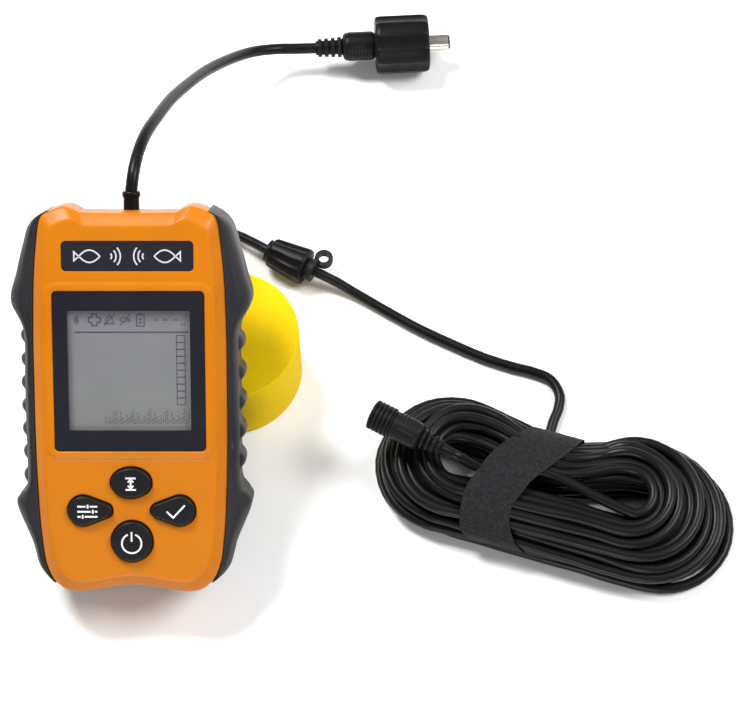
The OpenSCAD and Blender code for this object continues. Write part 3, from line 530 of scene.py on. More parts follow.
def add_slab(bm, size, x, y, low, high, edge=0.15):
    """Rounded plate with a small fillet round its top."""
    steps = [(low, 0.0), (high - edge, 0.0), (high - 0.3 * edge, -0.3 * edge), (high, -edge)]
    add_loft(bm, [[(p[0] + x, p[1] + y, z) for p in round_rect(size, grow)] for z, grow in steps])


def add_stroke(bm, points, width, low, high, closed=False):
    """A drawn line of constant width as a thin raised bar with mitred corners."""
    points = [Vector(p) for p in points]
    count = len(points)
    left, right = [], []
    for i, p in enumerate(points):
        before = points[i - 1] if (i or closed) else None
        after = points[(i + 1) % count] if (i < count - 1 or closed) else None
        d1 = (p - before).normalized() if before is not None else (after - p).normalized()
        d2 = (after - p).normalized() if after is not None else d1
        n1 = Vector((-d1.y, d1.x))
        n2 = Vector((-d2.y, d2.x))
        n = (n1 + n2).normalized()
        n = n * (width / 2 / max(n.dot(n1), 0.4))
        left.append(p + n)
        right.append(p - n)
    quads = range(count if closed else count - 1)
    rows = [[bm.verts.new((*q, z)) for q in side] for side in (left, right) for z in (low, high)]
    left_low, left_high, right_low, right_high = rows
    for i in quads:
        j = (i + 1) % count
        bm.faces.new((left_high[i], left_high[j], right_high[j], right_high[i]))
        bm.faces.new((left_low[i], right_low[i], right_low[j], left_low[j]))
        bm.faces.new((left_low[i], left_low[j], left_high[j], left_high[i]))
        bm.faces.new((right_low[i], right_high[i], right_high[j], right_low[j]))
    if not closed:
        for i in (0, count - 1):
            bm.faces.new((left_low[i], left_high[i], right_high[i], right_low[i]))


def arc(x, y, r, start, end, steps=12):
    """Points along an arc, in degrees anticlockwise from +X."""
    return [
        (x + r * cos(radians(start + (end - start) * i / steps)),
         y + r * sin(radians(start + (end - start) * i / steps)))
        for i in range(steps + 1)
    ]


# Smooth curves through given points ------------
def bend(a, b, c, d, t):
    """Point between b and c, at the share t of the way, on a curve through all four."""
    square = 2 * a - 5 * b + 4 * c - d
    cube = 3 * b - a - 3 * c + d
    return 0.5 * (2 * b + (c - a) * t + square * t * t + cube * t ** 3)


def smooth_line(points, steps):
    p = [Vector(q) for q in points]
    n = len(p)
    out = []
    for i in range(n - 1):
        for k in range(steps):
            out.append(bend(p[max(i - 1, 0)], p[i], p[i + 1], p[min(i + 2, n - 1)], k / steps))
    out.append(p[-1])
    return out


def smooth_loop(points, steps):
    p = [Vector(q) for q in points]
    n = len(p)
    return [
        bend(p[i - 1], p[i], p[(i + 1) % n], p[(i + 2) % n], k / steps)
        for i in range(n) for k in range(steps)
    ]


def case_loop(side, steps=7):
    """Whole outline of the case from the list of points on its right half."""
    right = [(x * HALF_W, y * CASE_L) for x, y in side]
    left = [(-x, y) for x, y in right[-2:0:-1]]
    return smooth_loop(right + left, steps)


def inset(loop, d):
    kx = 1 - d / HALF_W
    middle = CASE_L / 2
    ky = 1 - d / middle
    return [(q[0] * kx, middle + (q[1] - middle) * ky) for q in loop]


# Cords ------------
def make_cord(name, points, diameter, replaced):
    """A round cord along points in metres, as a curve of one open spline."""
    curve = bpy.data.curves.new(name, "CURVE")
    curve.dimensions = "3D"
    curve.bevel_depth = diameter * MM / 2
    curve.bevel_resolution = 4
    curve.use_fill_caps = True
    spline = curve.splines.new("POLY")
    spline.points.add(len(points) - 1)
    for slot, p in zip(spline.points, points):
        slot.co = (*p, 1)
    spline.use_smooth = True
    curve.materials.append(MATERIALS["cable"])
    made = bpy.data.objects.new(name, curve)
    bpy.context.scene.collection.objects.link(made)
    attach(made, "case")
    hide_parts(*replaced)
    return made


PIGTAIL_ROUTE = [
    (0.012, 3.9, 2.9), (0.03, 9.2, 3.4), (0.06, 15.2, 1.8), (0.105, 20.9, -1.7),
    (0.16, 28.8, -8.5), (0.24, 34.8, -15.1), (0.33, 39.2, -21.1), (0.45, 39.3, -24.1),
    (0.58, 35.1, -23.3), (0.73, 24.7, -17.2), (0.865, 12.6, -9),
]
OVER_FLOAT_ROUTE = [
    (0, 0, 3), (-1, 3, 9), (-3.5, 10.5, 12.5), (-8, 20, 10.5),
    (-12.5, 29, 2), (-16, 37, -10), (-17, 44.5, -20.5),
]
BEFORE_STOP_ROUTE = [(11, 118.6, 1.9), (17.5, 118.6, 1.7), (25, 115.6, 2.8), (31, 111.6, 4.6)]
AFTER_STOP_ROUTE = [
    (58.5, 97.2, 4), (65.5, 93.5, 2.2), (77, 86.3, 1.65), (85.5, 81.2, 1.65),
    (94.7, 76.4, 1.65), (104.9, 71.5, 1.65), (114, 68.2, 1.65), (121, 66.2, 1.65),
    (126.3, 63.6, 1.65), (129, 58.5, 1.65),
]
# Tucked in behind the hank, in the hank's own millimetres
INTO_HANK_ROUTE = [
    (-4.6, 30, 1.65), (-5.0, 25, 1.65), (-4.8, 20, 1.65), (-3.0, 15.9, 1.8), (1.4, 13.6, 2),
    (7, 14.6, 2.2),
]
OUT_OF_HANK_ROUTE = [
    (13.5, -2.4, 17.3), (6, -0.4, 17.1), (-1, 0.9, 16.9), (-8, 0.6, 16.6), (-14, -1.2, 16.5),
    (-20.5, -3.0, 16.8), (-24.3, -3.6, 19.2), (-27.4, -3.9, 22.2),
]

# Section of the bundle inside the strap: a rounded box, with its middle at Y and Z and with
# half its width and half its height
BUNDLE_Y = -2.6
BUNDLE_W = 20.0
BUNDLE_H = 9.55
BUNDLE_Z = 9.6
BUNDLE_POWER = 2.3
# From the bundle's skin to the middle of a strand inside it, at its side and under its roof
SIDE_ROOM = 1.9
ROOF_ROOM = 1.75
# Length over which the strap's hold on the strands fades away
HELD_FADE = 9.0

# Turns piled in each lane of the hank, from its outermost lane inwards
LANE_TURNS = [3, 4, 5, 5, 5, 5]
LANE_PITCH = 2.86
LEFT_PITCH = 2.55
RAISE = 1.65
# Strands change to the next turn over this length to each side of the strap
CHANGE_X = 13.0
WAIST_ROOM = 2.2
# Share of a quarter turn that runs from the strap to an end loop
STRAIGHT = 0.62
SWAY = 0.35
HEAVE = 0.2
TURN_STEPS = 44
FIRST_TURN_FROM = 5
LAST_TURN_TO = 15
# Where along the hank the strap pinches its far and its near side
FAR_WAIST_X = 0.0
NEAR_WAIST_X = -12.0
# How far each layer's end loops draw in towards the strap, and lean to the far side
RIGHT_DRAW = [-2.2, 0.2, 2.2, 5.0, 8.5]
LEFT_DRAW = [0, 0.5, 1.6, 3.4, 6.0]
RIGHT_LEAN = [1.0, 1.8, 0.6, 1.5, 2.0]
LEFT_LEAN = [0.5, -0.8, 0.6, -0.4, 1.0]


def pigtail_points():
    a = CASE @ Vector((0, GLAND_END, GLAND_Z))
    b = bench(PLUG_AT)
    middle = [a + r[0] * (b - a) + Vector((0, r[1], r[2])) * MM for r in PIGTAIL_ROUTE]
    return smooth_line([a] + middle + [b], 6)


def stop_point(u):
    return STOP_AT + Vector((u * cos(STOP_TURN), u * sin(STOP_TURN), 0))


def jack_point(u):
    return JACK_AT + Vector((u * cos(JACK_TURN), u * sin(JACK_TURN), 0))


def lobe(slot, right):
    """Centre and radius of the end loop of one turn."""
    lane, layer = slot
    swing = sin(2.4 * lane + 1.7 * layer)
    if right:
        r = HANK_RIGHT_R - CABLE_D / 2 - LANE_PITCH * lane
        x = HANK_L / 2 - HANK_RIGHT_R - RIGHT_DRAW[layer] - 0.7 * abs(swing)
        return x, RIGHT_LEAN[layer] + 0.3 * swing, r
    r = HANK_LEFT_R - CABLE_D / 2 - LEFT_PITCH * lane
    x = -HANK_L / 2 + HANK_LEFT_R + LEFT_DRAW[layer] + 0.7 * abs(swing)
    return x, LEFT_LEAN[layer] - 0.3 * swing, r


def ease(t):
    t = min(max(t, 0.0), 1.0)
    return t * t * (3 - 2 * t)


def turn_spot(slot, share):
    """Point of one turn, clockwise from the middle of its far side, in plan."""
    waist = HANK_WAIST - WAIST_ROOM - LANE_PITCH * slot[0]
    quarter = share * 4
    right = quarter < 2
    x0, y0, r = lobe(slot, right)
    along = quarter if right else 4 - quarter
    if STRAIGHT < along < 2 - STRAIGHT:
        a = pi / 2 - pi * (along - STRAIGHT) / (2 - 2 * STRAIGHT)
        return x0 + (r * cos(a) if right else -r * cos(a)), y0 + r * sin(a)
    far = along <= STRAIGHT
    t = (along if far else 2 - along) / STRAIGHT
    end = y0 + (r if far else -r)
    side = BUNDLE_Y + (waist if far else -waist)
    middle = FAR_WAIST_X if far else NEAR_WAIST_X
    return middle + (x0 - middle) * t, side + (end - side) * ease(t * 1.05)


def slots_in_order():
    order = []
    for layer in range(max(LANE_TURNS)):
        lanes = [k for k, turns in enumerate(LANE_TURNS) if turns > layer]
        order += [(lane, layer) for lane in (lanes if layer % 2 == 0 else lanes[::-1])]
    return order


def slot_height(slot):
    lane, layer = slot
    return STRAP_T + CABLE_D / 2 + CABLE_D * layer + (RAISE if lane % 2 else 0)


def under_strap(x, y, z):
    """Height that keeps a strand inside the strap, where the strap holds it."""
    middle = FAR_WAIST_X + (NEAR_WAIST_X - FAR_WAIST_X) * ease(0.5 - y / 24)
    held = ease(2.2 - abs(x - middle) / HELD_FADE)
    across = min(abs(y - BUNDLE_Y) / (BUNDLE_W - SIDE_ROOM), 0.98)
    roof = BUNDLE_Z + (BUNDLE_H - ROOF_ROOM) * (1 - across ** BUNDLE_POWER) ** (1 / BUNDLE_POWER)
    return z - held * max(z - roof, 0)


def neighbour(order, k, share, x):
    """The turn that a strand changes to or from there, and how far it has changed."""
    if share > 0.5 and x > -CHANGE_X and k < len(order) - 1:
        return order[k + 1], ease((x + CHANGE_X) / (2 * CHANGE_X))
    if share < 0.25 and x < CHANGE_X and k > 0:
        return order[k - 1], ease((CHANGE_X - x) / (2 * CHANGE_X))
    return order[k], 0.0


def hank_point(order, k, share):
    """Point of turn k, with the small waves that keep strands from looking drawn."""
    slot = order[k]
    x, y = turn_spot(slot, share)
    z = slot_height(slot)
    other, change = neighbour(order, k, share, x)
    if y > 0 and change:
        y += (turn_spot(other, share)[1] - y) * change
        z += (slot_height(other) - z) * change
    droop = STRAP_T * ease((abs(x) - 9) / 18)
    sway = SWAY * sin(0.13 * x + 1.9 * k) * ease((abs(x) - 6) / 14)
    heave = HEAVE * sin(0.1 * x + 2.3 * k) * (slot[1] > 0)
    if slot[0] == 0:
        sway = -abs(sway) if y > 0 else abs(sway)
    return x, y + sway, under_strap(x, y, z - droop + heave)


def hank_points():
    """The coiled length, turn by turn, in the hank's own millimetres."""
    order = slots_in_order()
    points = []
    for k in range(len(order)):
        first = FIRST_TURN_FROM if k == 0 else 0
        end = LAST_TURN_TO if k == len(order) - 1 else TURN_STEPS
        points += [hank_point(order, k, i / TURN_STEPS) for i in range(first, end)]
    return points


def cable_points():
    start = [CABLE_EXIT]
    over = [FLOAT_AT + Vector((0, 0, FLOAT_H)) + Vector(r) for r in OVER_FLOAT_ROUTE]
    through = [stop_point(-1), stop_point(STOP_L / 2), stop_point(STOP_L + 3.1)]
    flat = [bench(p) for p in start + over + BEFORE_STOP_ROUTE + through + AFTER_STOP_ROUTE]
    flat += [HANK @ Vector(p) for p in INTO_HANK_ROUTE]
    coil = [HANK @ Vector(p) for p in hank_points()]
    tail = [HANK @ Vector(p) for p in OUT_OF_HANK_ROUTE]
    tail += [bench(jack_point(u)) for u in (JACK_L + 4, JACK_L)]
    lead = smooth_line(flat + coil[:2], 6)[:-6]
    end = smooth_line(coil[-2:] + tail, 6)[6:]
    return lead + smooth_line(coil, 2)[:-1] + end


def make_cords():
    pigtail = make_cord("pigtail_cord", pigtail_points(), PIGTAIL_D, ["pigtail"])
    cable = make_cord(
        "transducer_cord", cable_points(), CABLE_D, ["transducer_cable", "cable_hank", "cable_tail"])
    return pigtail, cable


# Case ------------
# Lips round the openings: (height above the face, how far outside the opening)
RIM = [(0, 3.1), (0.03, 2.75), (0.14, 2.4), (0.3, 2.05), (0.4, 1.6), (0.42, 0.8), (0.34, 0.35), (0.12, 0.12)]
KEY_LIP = [(0, 0.75), (-0.03, 0.55), (-0.12, 0.38), (-0.3, 0.3)]
PLATE_LIP = [(0, 0.45), (-0.04, 0.25), (-0.15, 0.12)]


def add_opening(bm, shape, y, lip, floor_z):
    """Rings from the face down into an opening; returns the face and the floor ring."""
    loops = [lifted(shape(grow), y, CASE_T + dz) for dz, grow in lip]
    loops.append(lifted(shape(lip[-1][1]), y, floor_z))
    rings = add_skin(bm, loops)
    return rings[0], rings[-1]


def front_openings():
    """Outline, place up the case and lip of each opening in the front."""
    return [
        (lambda grow: round_rect(WINDOW, grow), WINDOW_Y, RIM),
        (lambda grow: round_rect(PLATE, grow), PLATE_Y, PLATE_LIP),
        (power_key, POWER_Y, KEY_LIP),
        (oval_key, OVAL_Y, KEY_LIP),
        (right_key, SIDE_KEY_Y, KEY_LIP),
        (left_key, SIDE_KEY_Y, KEY_LIP),
    ]


def make_front_shell():
    bm = bmesh.new()
    core = case_loop(CORE_SIDE)
    outside = [
        (PARTING_Z + SEAM, 0.25), (PARTING_Z + 0.35, 0), (22.6, 0), (24.1, 0.08), (24.9, 0.32),
        (25.35, 0.7), (27.15, 3.2), (27.38, 3.6), (27.48, 4.1), (CASE_T, 4.7),
    ]
    inside = [(PARTING_Z + SEAM, 2.2), (23.4, 2.3), (24.4, 2.9), (24.8, 3.6), (ROOF_Z, 4.6)]
    outer = add_skin(bm, [lifted(inset(core, d), 0, z) for z, d in outside])
    inner = add_skin(bm, [lifted(inset(core, d), 0, z) for z, d in inside])
    bridge(bm, outer[0], inner[0])
    tops = [outer[-1]]
    floors = [inner[-1]]
    for shape, y, lip in front_openings():
        top, floor = add_opening(bm, shape, y, lip, ROOF_Z)
        tops.append(top)
        floors.append(floor)
    fill_between(bm, tops)
    fill_between(bm, floors)
    finish_mesh(bm, "orange_front", CASE, "orange_shell", ["front_shell"], 28)


def back_walls():
    """Loops from the parting line round the edge of the back; its upper end slopes inwards."""
    rings = [(PARTING_Z - SEAM, 0.25), (PARTING_Z - 0.35, 0), (PARTING_Z - 3, 0)]
    for a in range(90, -1, -10):
        rings.append((BACK_EDGE_R * (1 - cos(radians(a))), BACK_EDGE_R * (1 - sin(radians(a)))))
    core = case_loop(CORE_SIDE)
    loops = []
    for z, d in rings:
        draft = TOP_DRAFT * (1 - z / PARTING_Z)
        loop = [(x, y - draft * ease((y / CASE_L - 0.86) / 0.14)) for x, y in inset(core, d)]
        loops.append(lifted(loop, 0, z))
    return loops


def make_back_shell():
    bm = bmesh.new()
    walls = add_skin(bm, back_walls())
    bm.faces.new(walls[0])
    bay = round_rect((2 * BAY_HALF_W, BAY_L, 0.4))
    pockets = [(bay, 0.0, BAY_LOW_Y + BAY_L / 2, BAY_ROOF_Z)]
    for x, y in SCREWS:
        pockets += [(ellipse(2.6, 2.6, 0, 32), side * x, y, 3.4) for side in (-1, 1)]
    loops = [walls[-1]]
    for shape, x, y, deep in pockets:
        placed = [(p[0] + x, p[1]) for p in shape]
        made = add_skin(bm, [lifted(placed, y, z) for z in (0, deep)])
        bm.faces.new(made[1])
        loops.append(made[0])
    fill_between(bm, loops)
    finish_mesh(bm, "black_back", CASE, "black_shell", ["back_shell"], 30)


def make_battery_cover():
    bm = bmesh.new()
    size = (2 * (BAY_HALF_W + 1.7), BAY_L + 3, 3.0)
    y = BAY_LOW_Y + BAY_L / 2
    steps = [(-0.3, -0.3), (-0.5, 0), (-1.9, 0), (-2.3, -0.25), (-2.5, -0.8)]
    rings = [lifted(round_rect(size, grow), y, z) for z, grow in steps]
    outer = add_loft(bm, rings, low_cap=False)
    inner = add_skin(bm, [lifted(round_rect(size, -2.0), y, z) for z in (-0.3, -0.9)])
    bridge(bm, outer[0], inner[0])
    bm.faces.new(inner[1])
    for i in range(5):
        row_y = BAY_LOW_Y + BAY_L - FIRST_BAR + BAR_PITCH * i
        steps = ((-2.4, 0), (-2.75, -0.05), (-2.9, -0.25))
        add_loft(bm, [lifted(round_rect((18, 0.9, 0.4), grow), row_y, z) for z, grow in steps])
    for side in (-1, 1):
        for low in (8, 24, 40):
            add_tongue(bm, side, BAY_LOW_Y + low)
    finish_mesh(bm, "battery_door", CASE, "black_shell", ["battery_cover"], 30, "battery_cover")


def add_tongue(bm, side, low_y):
    """Hooked tongue that keeps the battery cover against the case."""
    for x0, x1, z0, z1 in ((21.9, 22.6, -1.0, 2.3), (21.9, 24.2, 1.5, 2.3)):
        ring = [(x0, low_y), (x1, low_y), (x1, low_y + 8), (x0, low_y + 8)]
        add_loft(bm, [[(side * x, yy, z) for x, yy in ring] for z in (z0, z1)])


# Grip section from back to face: (share of the way from case to skin, height)
GRIP_PROFILE = [
    (0.0, 3.5), (0.4, 3.6), (0.78, 4.6), (0.96, 7), (1, 10), (1, 14), (1, 17.4), (0.99, 19.4),
    (0.93, 21.0), (0.8, 22.4), (0.62, 23.6), (0.45, 24.25), (0.2, 24.45), (0.0, 24.5),
]


def rib_height(y, z, ribs):
    """How far a rib stands out of the grip; ribs are (first, pitch, count, radius)."""
    first, pitch, count, r = ribs
    across = 0.0
    for i in range(count):
        d = abs(y - first - pitch * i)
        if d < r:
            across = max(across, sqrt(r * r - d * d) - (r - 1.6))
    ends = min((z - 4.8) / 2.6, (19.4 - z) / 2.6)
    ends = min(max(ends, 0.0), 1.0)
    return max(across, 0.0) * sqrt(ends)


def make_grip(name, side, ribs, node_name):
    bm = bmesh.new()
    steps = 26
    core = case_loop(CORE_SIDE, steps)
    skin = case_loop(GRIP_SIDE, steps)
    profile = smooth_line(GRIP_PROFILE, 3)
    sections = []
    for i in range(GRIP_FIRST * steps, GRIP_LAST * steps + 1):
        start = core[i] + (skin[i] - core[i]).normalized() * 0.15
        section = []
        for share, z in profile:
            q = start + (skin[i] - start) * min(max(share, 0), 1)
            bump = rib_height(q.y, z, ribs) * min(max((share - 0.8) / 0.2, 0), 1)
            section.append((side * (q.x + bump), q.y, z))
        sections.append(section)
    add_loft(bm, sections)
    finish_mesh(bm, name, CASE, "grip_rubber", [node_name], 50)


def make_window():
    """Printed black border with the display's opening."""
    bm = bmesh.new()
    steps = ((CASE_T - 1.4, 0), (CASE_T - 0.12, 0), (CASE_T, -0.12))
    outer = add_skin(bm, [lifted(round_rect(WINDOW, grow), WINDOW_Y, z) for z, grow in steps])
    hole = add_skin(bm, [lifted(round_rect(LCD), LCD_Y, z) for z in (CASE_T - 1.4, CASE_T)])
    fill_between(bm, [outer[-1], hole[1]])
    fill_between(bm, [outer[0], hole[0]])
    finish_mesh(bm, "window_border", CASE, "window", ["window_lens"], 30)


def make_display():
    """Clear pane in the border's opening, and the display behind it."""
    bm = bmesh.new()
    add_slab(bm, (LCD[0] - 0.04, LCD[1] - 0.04, LCD[2]), 0, LCD_Y, CASE_T - 0.35, CASE_T - 0.02, 0.02)
    finish_mesh(bm, "window_pane", CASE, "pane", (), 30)

    bm = bmesh.new()
    add_slab(bm, (38.4, 38.4, 0.4), 0, WINDOW_Y, LCD_Z - 2.2, LCD_Z, 0.1)
    finish_mesh(bm, "display_glass", CASE, "lcd", ["lcd_glass"], 30)


def fish_outline(x, y, length, flip=1):
    """A plain fish: an almond body whose ends cross into a forked tail."""
    body = []
    for i in range(17):
        t = i / 16
        body.append((x + flip * length * (0.5 - 0.8 * t), y + 0.24 * length * sin(pi * t) ** 0.85))
    tail = [(x - flip * length * 0.5, y + side * 0.17 * length) for side in (-1, 1)]
    lower = [(px, 2 * y - py) for px, py in body[::-1]]
    return body + tail + lower[1:-1]


def make_name_plate():
    bm = bmesh.new()
    add_slab(bm, PLATE, 0, PLATE_Y, CASE_T - 0.7, CASE_T - 0.05, 0.12)
    finish_mesh(bm, "plate_body", CASE, "plate", ["name_plate"], 30)

    bm = bmesh.new()
    low, high = CASE_T - 0.07, CASE_T + 0.02
    for x, flip in ((-11.5, 1), (11.5, -1)):
        add_stroke(bm, fish_outline(x, PLATE_Y, 7.4, flip), 0.42, low, high, closed=True)
    for k in range(3):
        add_stroke(bm, arc(-5.6, PLATE_Y, 1.2 + 1.25 * k, -42, 42), 0.42, low, high)
        add_stroke(bm, arc(5.6, PLATE_Y, 1.2 + 1.25 * k, 138, 222), 0.42, low, high)
    finish_mesh(bm, "plate_marks", CASE, "plate_print")


def lcd_marks():
    """Lines on the display: (points, width, closed)."""
    marks = []
    top = 81.5
    for k in range(3):
        marks.append((arc(-16.2, top, 0.5 + 0.55 * k, -50, 50, 6), 0.32, False))
    cross = []
    for k in range(4):
        a = pi / 2 * k
        for dx, dy in ((1.7, -0.7), (1.7, 0.7), (0.75, 0.75)):
            cross.append((-9.9 + dx * cos(a) - dy * sin(a), top + dx * sin(a) + dy * cos(a)))
    marks.append((cross, 0.4, True))
    bell = [(-6.9, top - 1.1), (-6.4, top + 0.4), (-5.6, top + 1.4), (-4.8, top + 0.4), (-4.3, top - 1.1)]
    marks.append((bell, 0.32, True))
    marks.append(([(-7.1, top - 1.7), (-4.1, top + 1.7)], 0.32, False))
    marks.append((fish_outline(-1.2, top, 2.9, -1), 0.28, True))
    marks.append(([(-2.6, top - 1.6), (0.4, top + 1.7)], 0.32, False))
    marks.append(([(2.2, top - 1.8), (4.4, top - 1.8), (4.4, top + 1.5), (2.2, top + 1.5)], 0.35, True))
    marks.append(([(2.8, top + 1.8), (3.8, top + 1.8)], 0.3, False))
    for k in range(2):
        marks.append(([(2.8, top - 1.0 + 1.0 * k), (3.8, top - 0.6 + 1.0 * k)], 0.45, False))
    for x in (7.7, 10.4, 13.5):
        marks.append(([(x - 0.6, top), (x + 0.6, top)], 0.35, False))
    marks.append(([(15.2, 79.6), (15.2, 80.5)], 0.3, False))
    marks.append(([(15.9, 79.6), (15.9, 80.5)], 0.3, False))
    marks.append(([(-15.7, 77.9), (17.1, 77.9)], 0.45, False))
    for k in range(10):
        low = 56.7 + 2.03 * k
        marks.append(([(13.6, low), (16.0, low), (16.0, low + 2.03), (13.6, low + 2.03)], 0.26, True))
    return marks


def weed_dots():
    """Bottom growth as rows of square dots, thinner towards the top."""
    dots = []
    for i in range(40):
        x = -7.3 + 24.2 * i / 39
        tall = 3.6 * abs(sin(1.9 * x + 0.6)) * abs(sin(0.63 * x + 1.1)) + 1.0
        for j in range(12):
            y = 51.3 + 0.36 * j
            if y - 51.3 < tall and (i * 7 + j * 5) % 3 != 0:
                dots.append((x + 0.12 * ((i + j) % 2), y))
    return dots


def make_display_marks():
    bm = bmesh.new()
    low, high = LCD_Z - 0.01, LCD_Z + 0.015
    for points, width, closed in lcd_marks():
        add_stroke(bm, points, width, low, high, closed)
    for x, y in weed_dots():
        add_stroke(bm, [(x - 0.17, y), (x + 0.17, y)], 0.3, low, high)
    finish_mesh(bm, "display_segments", CASE, "segment")


def make_key(name, shape, y, marks):
    """One key with a rounded edge, a flat top and its printed sign."""
    bm = bmesh.new()
    steps = [
        (ROOF_Z - 0.4, 0), (KEY_TOP - 0.75, 0), (KEY_TOP - 0.42, -0.06), (KEY_TOP - 0.2, -0.2),
        (KEY_TOP - 0.06, -0.46), (KEY_TOP, -0.85),
    ]
    add_loft(bm, [lifted(shape(g), y, z) for z, g in steps])
    finish_mesh(bm, name + "_cap", CASE, "keys", [name], 40, name)

    bm = bmesh.new()
    for points in marks:
        add_stroke(bm, points, 0.5, KEY_TOP - 0.02, KEY_TOP + 0.04)
    finish_mesh(bm, name + "_sign", CASE, "print", body=name)


def slider_marks():
    """Three slider rows: each a line on both sides of an upright knob."""
    marks = []
    for k in range(3):
        row = SIDE_KEY_Y + 1.5 * (k - 1)
        knob = -12.6 + 1.5 * ((k * 2) % 3 - 1)
        marks.append([(-15.6, row), (knob - 0.6, row)])
        marks.append([(knob + 0.6, row), (-9.8, row)])
        marks.append([(knob, row - 0.55), (knob, row + 0.55)])
    return marks


def depth_marks():
    """An upright double arrow between two bars."""
    y = OVAL_Y - 0.1
    return [
        [(-1.5, y - 1.7), (1.5, y - 1.7)],
        [(-1.5, y + 1.7), (1.5, y + 1.7)],
        [(0, y - 1.2), (0, y + 1.2)],
        [(-0.8, y + 0.5), (0, y + 1.3), (0.8, y + 0.5)],
        [(-0.8, y - 0.5), (0, y - 1.3), (0.8, y - 0.5)],
    ]


def make_keys():
    power = [arc(0, POWER_Y - 0.35, 2.85, 112, 428, 36), [(0, POWER_Y + 0.2), (0, POWER_Y + 3.1)]]
    tick = [[(10.3, SIDE_KEY_Y), (12.2, SIDE_KEY_Y - 1.8), (15.6, SIDE_KEY_Y + 1.9)]]
    make_key("power_key", power_key, POWER_Y, power)
    make_key("oval_key", oval_key, OVAL_Y, depth_marks())
    make_key("left_key", left_key, SIDE_KEY_Y, slider_marks())
    make_key("right_key", right_key, SIDE_KEY_Y, tick)


def make_gland():
    bm = bmesh.new()
    end = GLAND_END - GLAND_Y0
    add_lathe(bm, [
        (4, 0), (4, 1.5), (2.35, 1.5), (2.35, end - 1.9), (2.42, end - 1.75), (2.62, end - 1.5),
        (2.68, end - 1.1), (2.68, end - 0.5), (2.55, end - 0.15), (2.3, end), (1.9, end),
    ], 40)
    finish_mesh(bm, "gland_sleeve", GLAND, "cable", ["gland"], 50)


# Float, plug, stop and jack ------------
def make_float():
    bm = bmesh.new()
    r, h, edge = FLOAT_R, FLOAT_H, 0.8
    low = [(r - edge + edge * sin(radians(a)), edge - edge * cos(radians(a))) for a in (30, 60, 90)]
    high = [(r - edge + edge * cos(radians(a)), h - edge + edge * sin(radians(a))) for a in (0, 30, 60, 90)]
    profile = [(FLOAT_BORE_R, 0), (r - 0.9, 0)] + low
    profile += [(r, h * k / 6) for k in range(1, 6)] + high
    profile += [(r * 0.75, h), (r * 0.5, h), (3.0, h), (2.5, h - 0.15), (FLOAT_HOLE_R, h - 0.6)]
    profile += [(FLOAT_HOLE_R, 19.4), (3.6, 19.4), (3.6, 15.3), (FLOAT_BORE_R, 15.3)]
    add_lathe(bm, profile, 120, hollow=True)
    finish_mesh(bm, "foam_float", FLOAT, "foam", ["float"], 50, "float")


def ringed_profile(stations, groove_r, lip=0.16):
    """Profile with raised rings: stations are (start, length, radius)."""
    profile = []
    for start, length, r in stations:
        profile += [
            (groove_r, start - 0.01), (r - lip, start), (r, start + lip),
            (r, start + length - lip), (r - lip, start + length), (groove_r, start + length + 0.01),
        ]
    return profile


def add_pads(bm, middle, length, width, r, bars, side):
    """Two opposite oval ribbed grip pads on a round body, side degrees from its top."""
    shares = [j / 4 for j in range(-4, 5)]
    for flip in (0, pi):
        turn = Matrix.Rotation(radians(side) + flip, 4, "Z")
        for k in range(bars):
            off = k / (bars - 1) - 0.5
            z = middle + length * off
            half = width / 2 * sqrt(max(1 - (off * 1.9) ** 2, 0.05)) / r
            front = [(-(r + 0.3 * (1 - t ** 4)) * cos(t * half), r * sin(t * half)) for t in shares]
            back = [(-(r - 0.8) * cos(t * half), (r - 0.8) * sin(t * half)) for t in shares[::-1]]
            add_loft(bm, [[turn @ Vector((*q, z + dz)) for q in front + back] for dz in (-0.28, 0.28)])


def make_plug():
    made = []
    bm = bmesh.new()
    profile = [(1.9, 0), (2.35, 0)]
    profile += ringed_profile([(0.8 + 2.2 * k, 1.3, 3.05 + 0.12 * k) for k in range(4)], 2.45)
    profile += [(3.1, 9.2), (1.0, 9.2)]
    add_lathe(bm, profile, 40)
    made.append(finish_mesh(bm, "plug_relief", PLUG, "plug_plastic", ["plug_boot"], 40))

    bm = bmesh.new()
    add_lathe(bm, [
        (1.5, 9.2), (3.5, 9.2), (4.1, 9.5), (4.6, 10.2), (4.85, 11.2), (4.85, 18.9), (4.6, 19.6),
        (4.1, 19.9), (1.5, 19.9),
    ], 48)
    add_pads(bm, 14.6, 6.4, 6.4, 4.85, 7, 68)
    made.append(finish_mesh(bm, "plug_grip", PLUG, "plug_plastic", ["plug_body"], 40))
    made.append(make_nut())
    return made


def make_nut():
    bm = bmesh.new()
    r, start, end = 9.7, 20.2, 38.2
    profile = [
        (4.2, start), (8.4, start, 0.3), (9.15, start + 0.25, 0.6), (9.55, start + 0.8, 0.9),
        (r, start + 1.8, 1), (r, start + 6, 1), (r, start + 11, 1), (r, end - 2.4, 1),
        (9.55, end - 1.1, 0.8), (9.3, end - 0.5, 0.5), (9.0, end - 0.15, 0.2), (8.6, end),
        (8.0, end), (7.8, end - 0.3),
    ]
    for k in range(5):
        z = end - 1.2 - 2.2 * k
        profile += [(7.8, z), (7.45, z - 0.35), (7.45, z - 0.75), (7.8, z - 1.1)]
    profile += [(7.8, 23.8), (4.2, 23.8)]
    add_lathe(bm, profile, 120, 6, 0.75, hollow=True)
    return finish_mesh(bm, "nut_sleeve", PLUG, "plug_plastic", ["coupling_nut"], 35, "coupling_nut")


